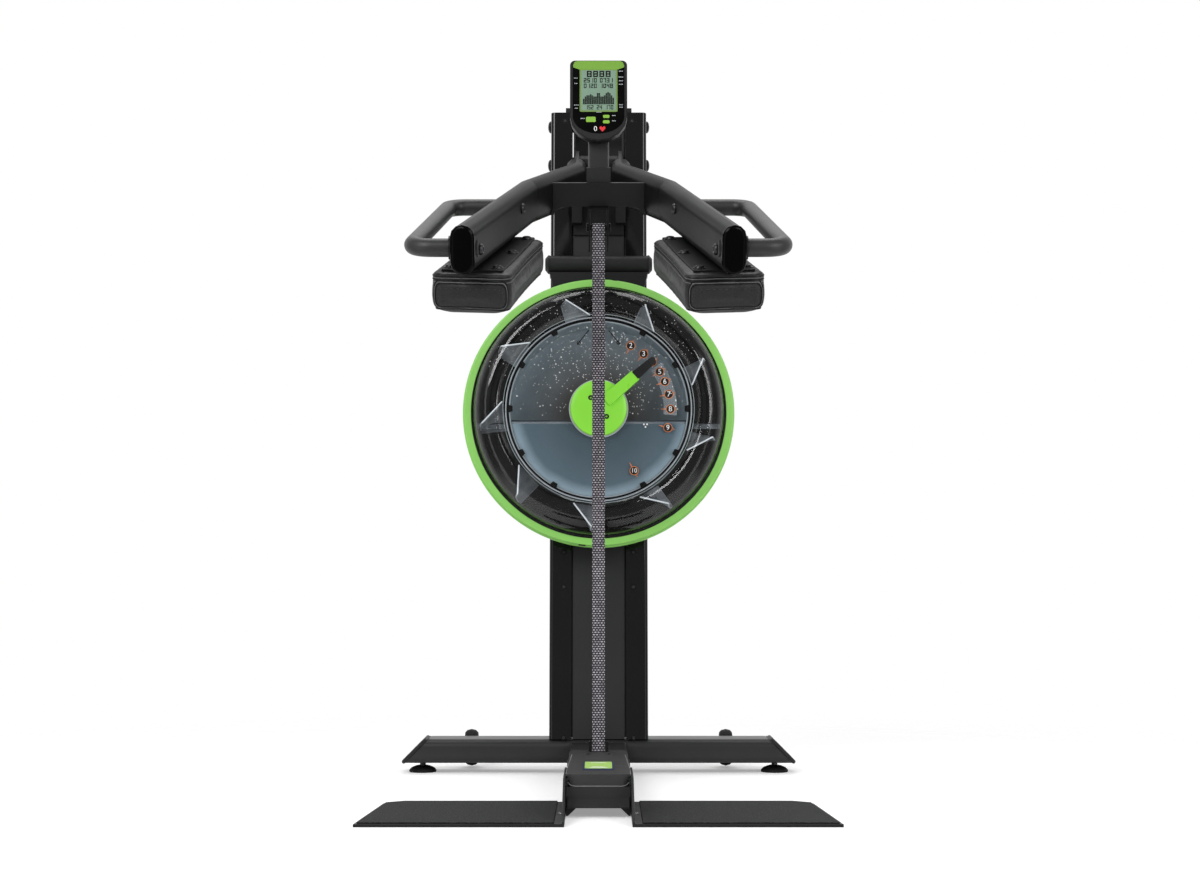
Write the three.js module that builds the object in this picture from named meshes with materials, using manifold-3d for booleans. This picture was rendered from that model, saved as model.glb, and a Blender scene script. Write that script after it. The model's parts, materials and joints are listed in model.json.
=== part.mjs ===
// Standing lever trainer with a water tank, in millimetres.
// X runs across the machine, -Y faces the user's side that the front view shows, Z is up from the floor.
import * as THREE from "three";
import { mergeVertices } from "three/addons/utils/BufferGeometryUtils.js";
import Module from "manifold-3d";

const wasm = await Module();
wasm.setup();

// Clearances
const GAP = 0.3;
const OPEN_GAP = 2;
const FLOOR_CLEARANCE = 3;
const CUTTER = 400;

// Rear crossbar
const CROSSBAR_HALF = 371;
const CROSSBAR_END_SLOPE = 45;
const CROSSBAR_DEPTH = 100;
const CROSSBAR_HEIGHT = 46;
const CROSSBAR_BOTTOM = 20;
const CROSSBAR_CORNER = 16;
const CROSSBAR_WALL = 3;
const CROSSBAR_CAP = 5;

// Levelling feet
const LEVEL_FOOT_INSET = 31;
const LEVEL_FOOT_X = CROSSBAR_HALF - LEVEL_FOOT_INSET;
const LEVEL_FOOT_RADIUS = 29;
const LEVEL_FOOT_HEIGHT = 13;
const LEVEL_STEM_RADIUS = 6;
const LEVEL_STEM_REACH = 18;

// Transport wheels
const WHEEL_INSET = 120;
const WHEEL_X = CROSSBAR_HALF - WHEEL_INSET;
const WHEEL_RADIUS = 36;
const WHEEL_WIDTH = 25;
const WHEEL_SETBACK = 38;
const WHEEL_AXLE_RADIUS = 5;
const WHEEL_EAR = 4;

// Base beam and pulley cover
const BEAM_WIDTH = 104;
const BEAM_HEIGHT = 40;
const BEAM_WALL = 3;
const BEAM_FRONT = 690;
const COVER_HEIGHT = 6.5;
const COVER_WALL = 2.5;
const COVER_SKIRT = 19;
const COVER_CORNER = 14;
const COVER_REAR_MARGIN = 38;
const COVER_REAR_TAPER = 4;
const MOUTH_MARGIN = 3;

// Front yoke under the cover
const YOKE_THICKNESS = 4;
const YOKE_ARCH_HALF = 34;
const YOKE_ARCH_HEIGHT = 15;
const YOKE_SILL_HEIGHT = 33;
const YOKE_SILL_REACH = 14;

// Footplates
const FOOTPLATE_OUTER_FRONT = 376;
const FOOTPLATE_OUTER_REAR = 358;
const FOOTPLATE_FRONT = 830;
const FOOTPLATE_REAR = 536;
const FOOTPLATE_CHAMFER_X = 32;
const FOOTPLATE_CHAMFER_Y = 24;
const FOOTPLATE_THICKNESS = 5;
const FLANGE_THICKNESS = 4;
const FLANGE_HEIGHT = 64;
const FLANGE_SLOPE_START = 700;
const MAT_THICKNESS = 2;
const MAT_MARGIN = 5;
const MAT_INNER_STRIP = 16;

// Heights along the column, each above the one before
const TANK_HEIGHT = 684;
const TANK_RADIUS = 240;
const REST_BAR_RISE = 62;
const REST_BAR_HEIGHT = TANK_HEIGHT + TANK_RADIUS + REST_BAR_RISE;
const PIVOT_RISE = 221.6;
const PIVOT_HEIGHT = REST_BAR_HEIGHT + PIVOT_RISE;
const COLUMN_HEAD = 90.4;
const COLUMN_HEIGHT = PIVOT_HEIGHT + COLUMN_HEAD;
const HEAD_DROP = 97.6;
const HEAD_BOTTOM = PIVOT_HEIGHT - HEAD_DROP;

// Column, leaning back
const COLUMN_LEAN = THREE.MathUtils.degToRad(5);
const COLUMN_WIDTH = 100;
const COLUMN_DEPTH = 100;
const COLUMN_WALL = 3;
const PANEL_OUTER = 95;
const PANEL_SLIT = 3;
const PANEL_PROUD = 4;
const PANEL_WALL = 2.5;
const PANEL_LIP = 8;
const PANEL_CORNER = 8;
const PANEL_RISE = 4;
const CHEEK_THICKNESS = 10;
const CHEEK_OFFSET = 6;
const CHEEK_DEPTH = 64;
const CHEEK_DROP = 60;
const CHEEK_RISE = 20;

// Pivot of the lever and the tie bolt above it
const PIVOT_AXLE_RADIUS = 8;
const TIE_RISE = 80;
const TIE_RADIUS = 6;
const PIVOT_BOSS_WALL = 9;
const TIE_BOSS_WALL = 5;
const NUT_RADIUS = 12;
const NUT_HEIGHT = 7;
const BUSH_WALL = 3;
const STOP_PLATE_THICKNESS = 6;
const STOP_PLATE_HEIGHT = 60;
const STOP_HALF_WIDTH = 10;
const STOP_REACH = 26;
const STOP_DROP = 40;
const SLEEVE_WALL = 9;

// Rest bar above the tank
const REST_BAR_REACH = 24;
const REST_BAR_RADIUS = 17.5;
const REST_BAR_HALF = 105;
const REST_CAP_LENGTH = 9;
const REST_SHELF = 5;
const REST_LIP = 32;
const REST_LIP_TAPER = 7;

// Water tank
const TANK_JOINT = 75;
const TANK_WALL = 4;
const TANK_BACK_FLAT = 170;
const TANK_FLANGE = 14;
const TANK_FLANGE_THICKNESS = 7;
const TANK_BULGE = 70;
const TANK_CREST = 206;
const TANK_SEAM = 174;
const TANK_WINDOW = 41;
const BRACKET_THICKNESS = 6;
const BRACKET_RADIUS = 110;
const RIM_THICKNESS = 3.7;
const RIM_FRONT_LIP = 9.5;
const RIM_REAR_STEP = 3;
const RIM_CHAMFER = 1.5;
const CHAMBER_RADIUS = 171.5;
const CHAMBER_WALL = 3;
const CHAMBER_DEPTH = 64;
const WATER_DROP = 23;
const LATHE_STEPS = 44;

// Impeller and its shaft
const SHAFT_RADIUS = 8;
const SHAFT_FRONT = 45;
const BEARING_WALL = 6;
const BEARING_WIDTH = 14;
const IMPELLER_PLANE = 36;
const IMPELLER_DISC = 4;
const IMPELLER_DISC_RADIUS = 178;
const IMPELLER_HUB_RADIUS = 22;
const BLADE_COUNT = 9;
const BLADE_TIP = 229;
const BLADE_TIP_DROP = 14;
const BLADE_DEPTH = 70;
const BLADE_THICKNESS = 3;
const BLADE_CUP = 16;
const BLADE_RAKE = 1.6;
const BLADE_PHASE = THREE.MathUtils.degToRad(24.7);

// Resistance selector
const SELECTOR_RADIUS = 54;
const SELECTOR_THICKNESS = 12;
const SELECTOR_SPINDLE = 9;
const SELECTOR_LENGTH = 135;
const SELECTOR_ARM_WIDTH = 25;
const SELECTOR_ARM_THICKNESS = 9;
const SELECTOR_GRIP_LENGTH = 42;
const SELECTOR_ANGLE = THREE.MathUtils.degToRad(42);

// Strap, its pulleys and the spool
const STRAP_WIDTH = 24;
const STRAP_THICKNESS = 2;
const STRAP_PITCH = 2.4;
const STRAP_TURNS = 2.6;
const PULLEY_RADIUS = 16;
const PULLEY_FLANGE = 3;
const PULLEY_FLANGE_THICKNESS = 2.5;
const PULLEY_AXLE_RADIUS = 5;
const PULLEY_AXLE_HEAD = 4;
const SPOOL_CORE = 28;
const SPOOL_FLANGE_RADIUS = 42;
const SPOOL_FLANGE_THICKNESS = 3;
const SPRING_CASE_RADIUS = 40;
const SPRING_CASE_GAP = 4;
const SPRING_ARBOR = 6;

// Lever, drooping from the pivot at rest
const LEVER_DROOP = THREE.MathUtils.degToRad(18.36);
const ARM_WIDTH = 38;
const ARM_HEIGHT = 78;
const ARM_WALL = 3;
const ARM_ROOT_X = 43;
const ARM_ROOT_Y = 176;
const ARM_FIRST_BEND_Y = 256;
const ARM_SECOND_BEND_X = 127;
const ARM_SECOND_BEND_Y = 496;
const ARM_END_X = 210;
const ARM_END_Y = 1000;
const ARM_BEND_RADIUS = 60;
const ARM_ROOT_DOME = 14;
const ARM_CAP_DOME = 6;
const ARM_PLUG = 18;
const YOKE_PLATE = 8;
const YOKE_HUB_RADIUS = 30;
const CROSS_PLATE_Y = 426;
const CROSS_PLATE_THICKNESS = 8;
const CROSS_PLATE_TOP = 25;
const CROSS_PLATE_BOTTOM = 18;
const CROSS_PLATE_HAUNCH = 16;
const CROSS_PLATE_HAUNCH_LENGTH = 26;
const CLEVIS_INNER_HALF = 15;
const CLEVIS_THICKNESS = 3;
const CLEVIS_RADIUS = 14;
const CLEVIS_END_Y = 455;
const CLEVIS_END_Z = 84;
const PIN_Y = 444.6;
const PIN_Z = 53.7;
const PIN_RADIUS = 5;
const PIN_HEAD_RADIUS = 7.5;
const PIN_HEAD = 4;

// Looped handles
const HANDLE_RADIUS = 14.5;
const HANDLE_FRONT_Y = 980;
const HANDLE_REAR_Y = 562;
const HANDLE_FRONT_X = 293;
const HANDLE_REAR_X = 261;
const HANDLE_BEND = 30;

// Shoulder pads
const PAD_WIDTH = 128;
const PAD_LENGTH = 350;
const PAD_THICKNESS = 66;
const PAD_CORNER = 20;
const PAD_CROWN = 7;
const PAD_DRAW_IN = 3;
const PAD_SEAM_DROP = 12;
const PAD_SEAM_DEPTH = 1.8;
const PAD_CENTRE_X = 179;
const PAD_CENTRE_Y = 795;
const PAD_SPLAY = THREE.MathUtils.degToRad(7.4);
const PAD_PLATE_THICKNESS = 5;
const PAD_PLATE_MARGIN = 14;

// Console on its mast
const MAST_WIDTH = 38;
const MAST_DEPTH = 14;
const MAST_HEIGHT = 205;
const MAST_FOOT_WIDTH = 44;
const MAST_FOOT_THICKNESS = 5;
const CONSOLE_WIDTH = 104;
const CONSOLE_SHOULDER = 105;
const CONSOLE_CHIN = 45;
const CONSOLE_DEPTH = 26;
const CONSOLE_CORNER = 9;
const CONSOLE_RISE = 236;
const CONSOLE_TILT = THREE.MathUtils.degToRad(4);
const FACE_CHAMFER = 1.5;
const SCREEN_WIDTH = 63;
const SCREEN_HEIGHT = 75;
const SCREEN_DROP = 19;
const SCREEN_THICKNESS = 1.6;
const KEY_TRAVEL = 1.2;
const KEY_PROUD = 1.6;
const KEY_DEPTH = 3;
const KEYS = [
  { name: "key_start", x: -14, drop: 111, width: 17.5, height: 10 },
  { name: "key_up", x: 14, drop: 105.5, width: 12, height: 6 },
  { name: "key_down", x: 14, drop: 115.5, width: 12, height: 6 },
];

// Facets on round pieces
const ARC_STEPS = 4;
const FINE = 20;
const COARSE = 14;

// Places that follow from the sizes above
const crossbarTop = CROSSBAR_BOTTOM + CROSSBAR_HEIGHT;
const columnFront = -COLUMN_DEPTH / 2;
const jointPlane = columnFront - TANK_JOINT;
const windowPlane = jointPlane - TANK_WINDOW;
const pulleyLine = PULLEY_RADIUS + GAP + STRAP_THICKNESS / 2;
const strapFloor = CROSSBAR_BOTTOM + Math.max(CROSSBAR_WALL, BEAM_WALL) + 1.5 + STRAP_THICKNESS / 2;
const pulleyHeight = strapFloor + pulleyLine;
const pivotPoint = columnToMachine(0, 0, PIVOT_HEIGHT);
const pinPoint = leverToMachine(0, -PIN_Y, -PIN_Z);
const strapY = pinPoint.y - PIN_RADIUS - GAP - STRAP_THICKNESS / 2;
const basePulleyY = strapY + pulleyLine;
const footPulleyY = (-pulleyLine + pulleyHeight * Math.sin(COLUMN_LEAN)) / Math.cos(COLUMN_LEAN);

// A point of the leaning column's frame in the machine's frame.
function columnToMachine(x, y, z) {
  return new THREE.Vector3(x, y, z).applyAxisAngle(new THREE.Vector3(1, 0, 0), -COLUMN_LEAN);
}

// A point of the drooping lever's frame in the machine's frame.
function leverToMachine(x, y, z) {
  return new THREE.Vector3(x, y, z).applyAxisAngle(new THREE.Vector3(1, 0, 0), LEVER_DROOP)
    .add(columnToMachine(0, 0, PIVOT_HEIGHT));
}

function shift(x, y, z) {
  return new THREE.Matrix4().makeTranslation(x, y, z);
}

// Closed geometry as a solid that can be joined and cut, facing out.
function solid(geometry) {
  const bare = geometry.clone();
  bare.deleteAttribute("normal");
  bare.deleteAttribute("uv");
  const merged = mergeVertices(bare, 1e-4);
  const build = (triVerts) => new wasm.Manifold(new wasm.Mesh({
    numProp: 3, vertProperties: merged.attributes.position.array, triVerts,
  }));
  const faces = new Uint32Array(merged.index.array);
  const made = build(faces);
  if (made.volume() > 0) return made;
  const turned = new Uint32Array(faces.length);
  for (let i = 0; i < faces.length; i += 3) {
    turned.set([faces[i], faces[i + 2], faces[i + 1]], i);
  }
  return build(turned);
}

function geometryOf(shape) {
  const mesh = shape.getMesh();
  const geometry = new THREE.BufferGeometry();
  geometry.setAttribute("position", new THREE.BufferAttribute(new Float32Array(mesh.vertProperties), 3));
  geometry.setIndex(new THREE.BufferAttribute(new Uint32Array(mesh.triVerts), 1));
  return geometry;
}

function moved(shape, matrix) {
  return solid(geometryOf(shape).applyMatrix4(matrix));
}

function mirrored(shape) {
  return moved(shape, new THREE.Matrix4().makeScale(-1, 1, 1));
}

function union(shapes) {
  return shapes.reduce((all, shape) => all.add(shape));
}

// A box between two corners.
function block(x0, x1, y0, y1, z0, z1) {
  const geometry = new THREE.BoxGeometry(x1 - x0, y1 - y0, z1 - z0);
  geometry.translate((x0 + x1) / 2, (y0 + y1) / 2, (z0 + z1) / 2);
  return solid(geometry);
}

function rod(axis, radius, from, to, a, b, sides = COARSE) {
  const geometry = new THREE.CylinderGeometry(radius, radius, to - from, sides);
  const middle = (from + to) / 2;
  if (axis === "x") {
    geometry.rotateZ(Math.PI / 2);
    geometry.translate(middle, a, b);
  } else if (axis === "y") {
    geometry.translate(a, middle, b);
  } else {
    geometry.rotateX(Math.PI / 2);
    geometry.translate(a, b, middle);
  }
  return solid(geometry);
}

// The radius of a round hole whose flats clear a round piece of the given radius.
function bore(radius, sides = COARSE, clearance = GAP) {
  return (radius + clearance) / Math.cos(Math.PI / sides);
}

function shapeOf(points) {
  return new THREE.Shape(points.map(([u, v]) => new THREE.Vector2(u, v)));
}

// An outline extruded along an axis: (x, y) along Z, (y, z) along X or (x, z) along Y.
function prism(axis, shape, from, to) {
  const outline = Array.isArray(shape) ? shapeOf(shape) : shape;
  const geometry = new THREE.ExtrudeGeometry(outline, {
    depth: to - from, bevelEnabled: false, curveSegments: ARC_STEPS,
  });
  const basis = new THREE.Matrix4();
  const [X, Y, Z] = [[1, 0, 0], [0, 1, 0], [0, 0, 1]].map((v) => new THREE.Vector3(...v));
  if (axis === "x") basis.makeBasis(Y, Z, X).setPosition(from, 0, 0);
  if (axis === "y") basis.makeBasis(X, Z, Y.clone().negate()).setPosition(0, to, 0);
  if (axis === "z") basis.makeBasis(X, Y, Z).setPosition(0, 0, from);
  return solid(geometry.applyMatrix4(basis));
}

// A revolved profile of (radius, height) points about the local Y axis, turned to the axis given.
function revolve(axis, profile, steps = LATHE_STEPS) {
  const closed = profile.concat([profile[0]]);
  const ends = profile[0][0] === 0 ? profile : closed;
  const geometry = new THREE.LatheGeometry(ends.map(([r, h]) => new THREE.Vector2(r, h)), steps);
  if (axis === "x") geometry.rotateZ(-Math.PI / 2);
  if (axis === "z") geometry.rotateX(Math.PI / 2);
  return solid(geometry);
}

function ring(axis, inner, outer, from, to, steps = COARSE) {
  return revolve(axis, [[inner, from], [outer, from], [outer, to], [inner, to]], steps);
}

// Points of a quarter ellipse from (a0, b0) to (a1, b1), leaving along the first coordinate.
function quarter(a0, b0, a1, b1, steps, leaveFirst = true) {
  const points = [];
  for (let i = 1; i < steps; i += 1) {
    const angle = (Math.PI / 2) * (i / steps);
    const s = Math.sin(angle);
    const c = 1 - Math.cos(angle);
    const [first, second] = leaveFirst ? [s, c] : [c, s];
    points.push([a0 + (a1 - a0) * first, b0 + (b1 - b0) * second]);
  }
  return points;
}

// A rounded rectangle about a centre, counter-clockwise.
function roundRect(halfU, halfV, radius, steps = 4, centreU = 0, centreV = 0) {
  const points = [];
  const corners = [[1, 1], [-1, 1], [-1, -1], [1, -1]];
  corners.forEach(([su, sv], quadrant) => {
    for (let i = 0; i <= steps; i += 1) {
      const angle = (Math.PI / 2) * (quadrant + i / steps);
      points.push([
        centreU + su * (halfU - radius) + radius * Math.cos(angle),
        centreV + sv * (halfV - radius) + radius * Math.sin(angle),
      ]);
    }
  });
  return points;
}

// A closed surface through rings of points, with a fan over each end.
function loft(rings) {
  const count = rings[0].length;
  const positions = rings.flat().flatMap((p) => [p.x, p.y, p.z]);
  const faces = [];
  for (let r = 0; r + 1 < rings.length; r += 1) {
    for (let i = 0; i < count; i += 1) {
      const j = (i + 1) % count;
      const [a, b, c, d] = [r * count + i, r * count + j, (r + 1) * count + j, (r + 1) * count + i];
      faces.push(a, b, c, a, c, d);
    }
  }
  [0, rings.length - 1].forEach((r) => {
    const centre = rings[r].reduce((sum, p) => sum.add(p), new THREE.Vector3()).divideScalar(count);
    const middle = positions.length / 3;
    positions.push(centre.x, centre.y, centre.z);
    for (let i = 0; i < count; i += 1) {
      const j = (i + 1) % count;
      if (r === 0) faces.push(middle, r * count + j, r * count + i);
      else faces.push(middle, r * count + i, r * count + j);
    }
  });
  const geometry = new THREE.BufferGeometry();
  geometry.setAttribute("position", new THREE.BufferAttribute(new Float32Array(positions), 3));
  geometry.setIndex(faces);
  return solid(geometry);
}

// A polyline with its corners rounded by arcs.
function rounded(corners, radius, steps) {
  const path = [corners[0].clone()];
  for (let i = 1; i + 1 < corners.length; i += 1) {
    const before = corners[i - 1].clone().sub(corners[i]).normalize();
    const after = corners[i + 1].clone().sub(corners[i]).normalize();
    const half = before.angleTo(after) / 2;
    const reach = radius / Math.tan(half);
    const inward = before.clone().add(after).normalize();
    const centre = corners[i].clone().addScaledVector(inward, radius / Math.sin(half));
    const start = corners[i].clone().addScaledVector(before, reach).sub(centre);
    const end = corners[i].clone().addScaledVector(after, reach).sub(centre);
    const axis = start.clone().cross(end).normalize();
    for (let k = 0; k <= steps; k += 1) {
      path.push(start.clone().applyAxisAngle(axis, (Math.PI - 2 * half) * (k / steps)).add(centre));
    }
  }
  path.push(corners.at(-1).clone());
  return path;
}

function tangentAt(path, i) {
  const ahead = path[Math.min(i + 1, path.length - 1)].clone().sub(path[i]);
  const behind = path[i].clone().sub(path[Math.max(i - 1, 0)]);
  return ahead.normalize().add(behind.normalize()).normalize();
}

// A section swept along a path, with the section's second axis along a given direction.
function sweep(path, section, up) {
  const rings = path.map((point, i) => {
    const tangent = tangentAt(path, i);
    const given = Array.isArray(up) ? up[i] : up;
    const rise = given.clone().addScaledVector(tangent, -given.dot(tangent)).normalize();
    const side = rise.clone().cross(tangent);
    return section.map(([a, b]) => point.clone().addScaledVector(side, a).addScaledVector(rise, b));
  });
  return loft(rings);
}

function circle(radius, sides) {
  return Array.from({ length: sides }, (_, i) => {
    const angle = (2 * Math.PI * i) / sides;
    return [radius * Math.cos(angle), radius * Math.sin(angle)];
  });
}

const machine = new THREE.Group();
const columnGroup = new THREE.Group();
columnGroup.rotation.x = -COLUMN_LEAN;
const leverGroup = new THREE.Group();
leverGroup.rotation.x = LEVER_DROOP;
leverGroup.position.copy(pivotPoint);
machine.add(columnGroup, leverGroup);

const FINISHES = {
  frame: { color: 0x2c2d2f, roughness: 0.45, metalness: 0.3 },
  gloss: { color: 0x141516, roughness: 0.12, metalness: 0.1 },
  plastic: { color: 0x1c1d1e, roughness: 0.5, metalness: 0 },
  rubber: { color: 0x232426, roughness: 0.85, metalness: 0 },
  green: { color: 0x86cd5c, roughness: 0.35, metalness: 0 },
  clear: { color: 0xdfe8ea, roughness: 0.05, metalness: 0, transparent: true, opacity: 0.3 },
  water: { color: 0x6f8791, roughness: 0.05, metalness: 0, transparent: true, opacity: 0.6 },
  steel: { color: 0x9a9c9e, roughness: 0.3, metalness: 0.9 },
  webbing: { color: 0x4a4b4d, roughness: 0.8, metalness: 0 },
  vinyl: { color: 0x3a3b3d, roughness: 0.55, metalness: 0 },
  screen: { color: 0x96b4a0, roughness: 0.2, metalness: 0 },
};

function add(group, name, shape, finish) {
  const mesh = new THREE.Mesh(geometryOf(shape), new THREE.MeshStandardMaterial({
    ...FINISHES[finish], flatShading: true,
  }));
  mesh.name = name;
  group.add(mesh);
}

// Adds a right-hand piece and its mirror image on the left.
function addPair(group, name, shape, finish) {
  add(group, `${name}_right`, shape, finish);
  add(group, `${name}_left`, mirrored(shape), finish);
}

// Rear crossbar: a round-cornered tube with sloping ends and ears for the wheels.
function crossbar() {
  const halfDepth = CROSSBAR_DEPTH / 2;
  const middle = CROSSBAR_BOTTOM + CROSSBAR_HEIGHT / 2;
  const reach = CROSSBAR_HALF + CROSSBAR_CAP + CROSSBAR_HEIGHT;
  const section = (inset) => prism("x", roundRect(
    halfDepth - inset, CROSSBAR_HEIGHT / 2 - inset, CROSSBAR_CORNER - inset, 4, 0, middle,
  ), -reach, reach);
  const topHalf = CROSSBAR_HALF - CROSSBAR_HEIGHT / Math.tan(THREE.MathUtils.degToRad(CROSSBAR_END_SLOPE));
  const between = (outline) => prism("y", outline, -halfDepth - 1, halfDepth + 1);
  const sloped = between([
    [-CROSSBAR_HALF, CROSSBAR_BOTTOM], [CROSSBAR_HALF, CROSSBAR_BOTTOM],
    [topHalf, crossbarTop], [-topHalf, crossbarTop],
  ]);
  const floor = CROSSBAR_BOTTOM + CROSSBAR_WALL;
  const strapWindows = union([
    block(-20, 20, -halfDepth - 1, -halfDepth + CROSSBAR_CORNER, floor, crossbarTop - 4),
    block(-22, 22, -16, 16, crossbarTop - CROSSBAR_WALL - 1, crossbarTop + 1),
  ]);
  const stemHoles = union([-1, 1].map((side) => rod(
    "z", bore(LEVEL_STEM_RADIUS), CROSSBAR_BOTTOM - 1, floor + 1, side * LEVEL_FOOT_X, 0,
  )));
  const tube = section(0)
    .subtract(section(CROSSBAR_WALL))
    .intersect(sloped)
    .subtract(strapWindows)
    .subtract(stemHoles);
  const wheelY = halfDepth + WHEEL_SETBACK;
  const wheelZ = WHEEL_RADIUS + FLOOR_CLEARANCE;
  const earInner = WHEEL_WIDTH / 2 + OPEN_GAP;
  const ears = [-1, 1].flatMap((side) => [-1, 1].map((face) => {
    const inner = side * WHEEL_X + face * earInner;
    const outer = inner + face * WHEEL_EAR;
    const plate = prism("x", [
      [halfDepth - 1, middle - 10], [wheelY, wheelZ - 14], [wheelY + 12, wheelZ - 6],
      [wheelY + 12, wheelZ + 8], [wheelY, wheelZ + 14], [halfDepth - 1, middle + 10],
    ], Math.min(inner, outer), Math.max(inner, outer));
    return plate;
  }));
  const axles = [-1, 1].map((side) => rod(
    "x", WHEEL_AXLE_RADIUS, side * WHEEL_X - earInner - WHEEL_EAR - 3,
    side * WHEEL_X + earInner + WHEEL_EAR + 3, wheelY, wheelZ, 16,
  ));
  add(machine, "rear_crossbar", union([tube, ...ears, ...axles]), "frame");

  const side = between([
    [CROSSBAR_HALF + GAP, CROSSBAR_BOTTOM], [CROSSBAR_HALF + CROSSBAR_CAP, CROSSBAR_BOTTOM],
    [topHalf + CROSSBAR_CAP, crossbarTop], [topHalf + GAP, crossbarTop],
  ]);
  addPair(machine, "crossbar_cap", section(0).intersect(side), "plastic");

  const wheel = revolve("x", [
    [bore(WHEEL_AXLE_RADIUS, FINE), -WHEEL_WIDTH / 2], [WHEEL_RADIUS - 6, -WHEEL_WIDTH / 2],
    [WHEEL_RADIUS - 2, -WHEEL_WIDTH / 2 + 4], [WHEEL_RADIUS, 0],
    [WHEEL_RADIUS - 2, WHEEL_WIDTH / 2 - 4], [WHEEL_RADIUS - 6, WHEEL_WIDTH / 2],
    [WHEEL_RADIUS - 9, WHEEL_WIDTH / 2], [WHEEL_RADIUS - 11, WHEEL_WIDTH / 2 - 5],
    [WHEEL_AXLE_RADIUS + 8, WHEEL_WIDTH / 2 - 5], [WHEEL_AXLE_RADIUS + 6, WHEEL_WIDTH / 2],
    [bore(WHEEL_AXLE_RADIUS, FINE), WHEEL_WIDTH / 2],
  ], FINE);
  const placed = moved(wheel, shift(WHEEL_X, wheelY, wheelZ));
  addPair(machine, "transport_wheel", placed, "rubber");

  const foot = revolve("z", [
    [0, 0], [LEVEL_FOOT_RADIUS, 0], [LEVEL_FOOT_RADIUS, 4], [LEVEL_FOOT_RADIUS - 3, 7],
    [LEVEL_STEM_RADIUS + 5, LEVEL_FOOT_HEIGHT - 3], [LEVEL_STEM_RADIUS + 5, LEVEL_FOOT_HEIGHT],
    [LEVEL_STEM_RADIUS, LEVEL_FOOT_HEIGHT], [LEVEL_STEM_RADIUS, CROSSBAR_BOTTOM + LEVEL_STEM_REACH],
    [0, CROSSBAR_BOTTOM + LEVEL_STEM_REACH],
  ], 28);
  addPair(machine, "levelling_foot", moved(foot, shift(LEVEL_FOOT_X, 0, 0)), "rubber");
}

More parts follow.
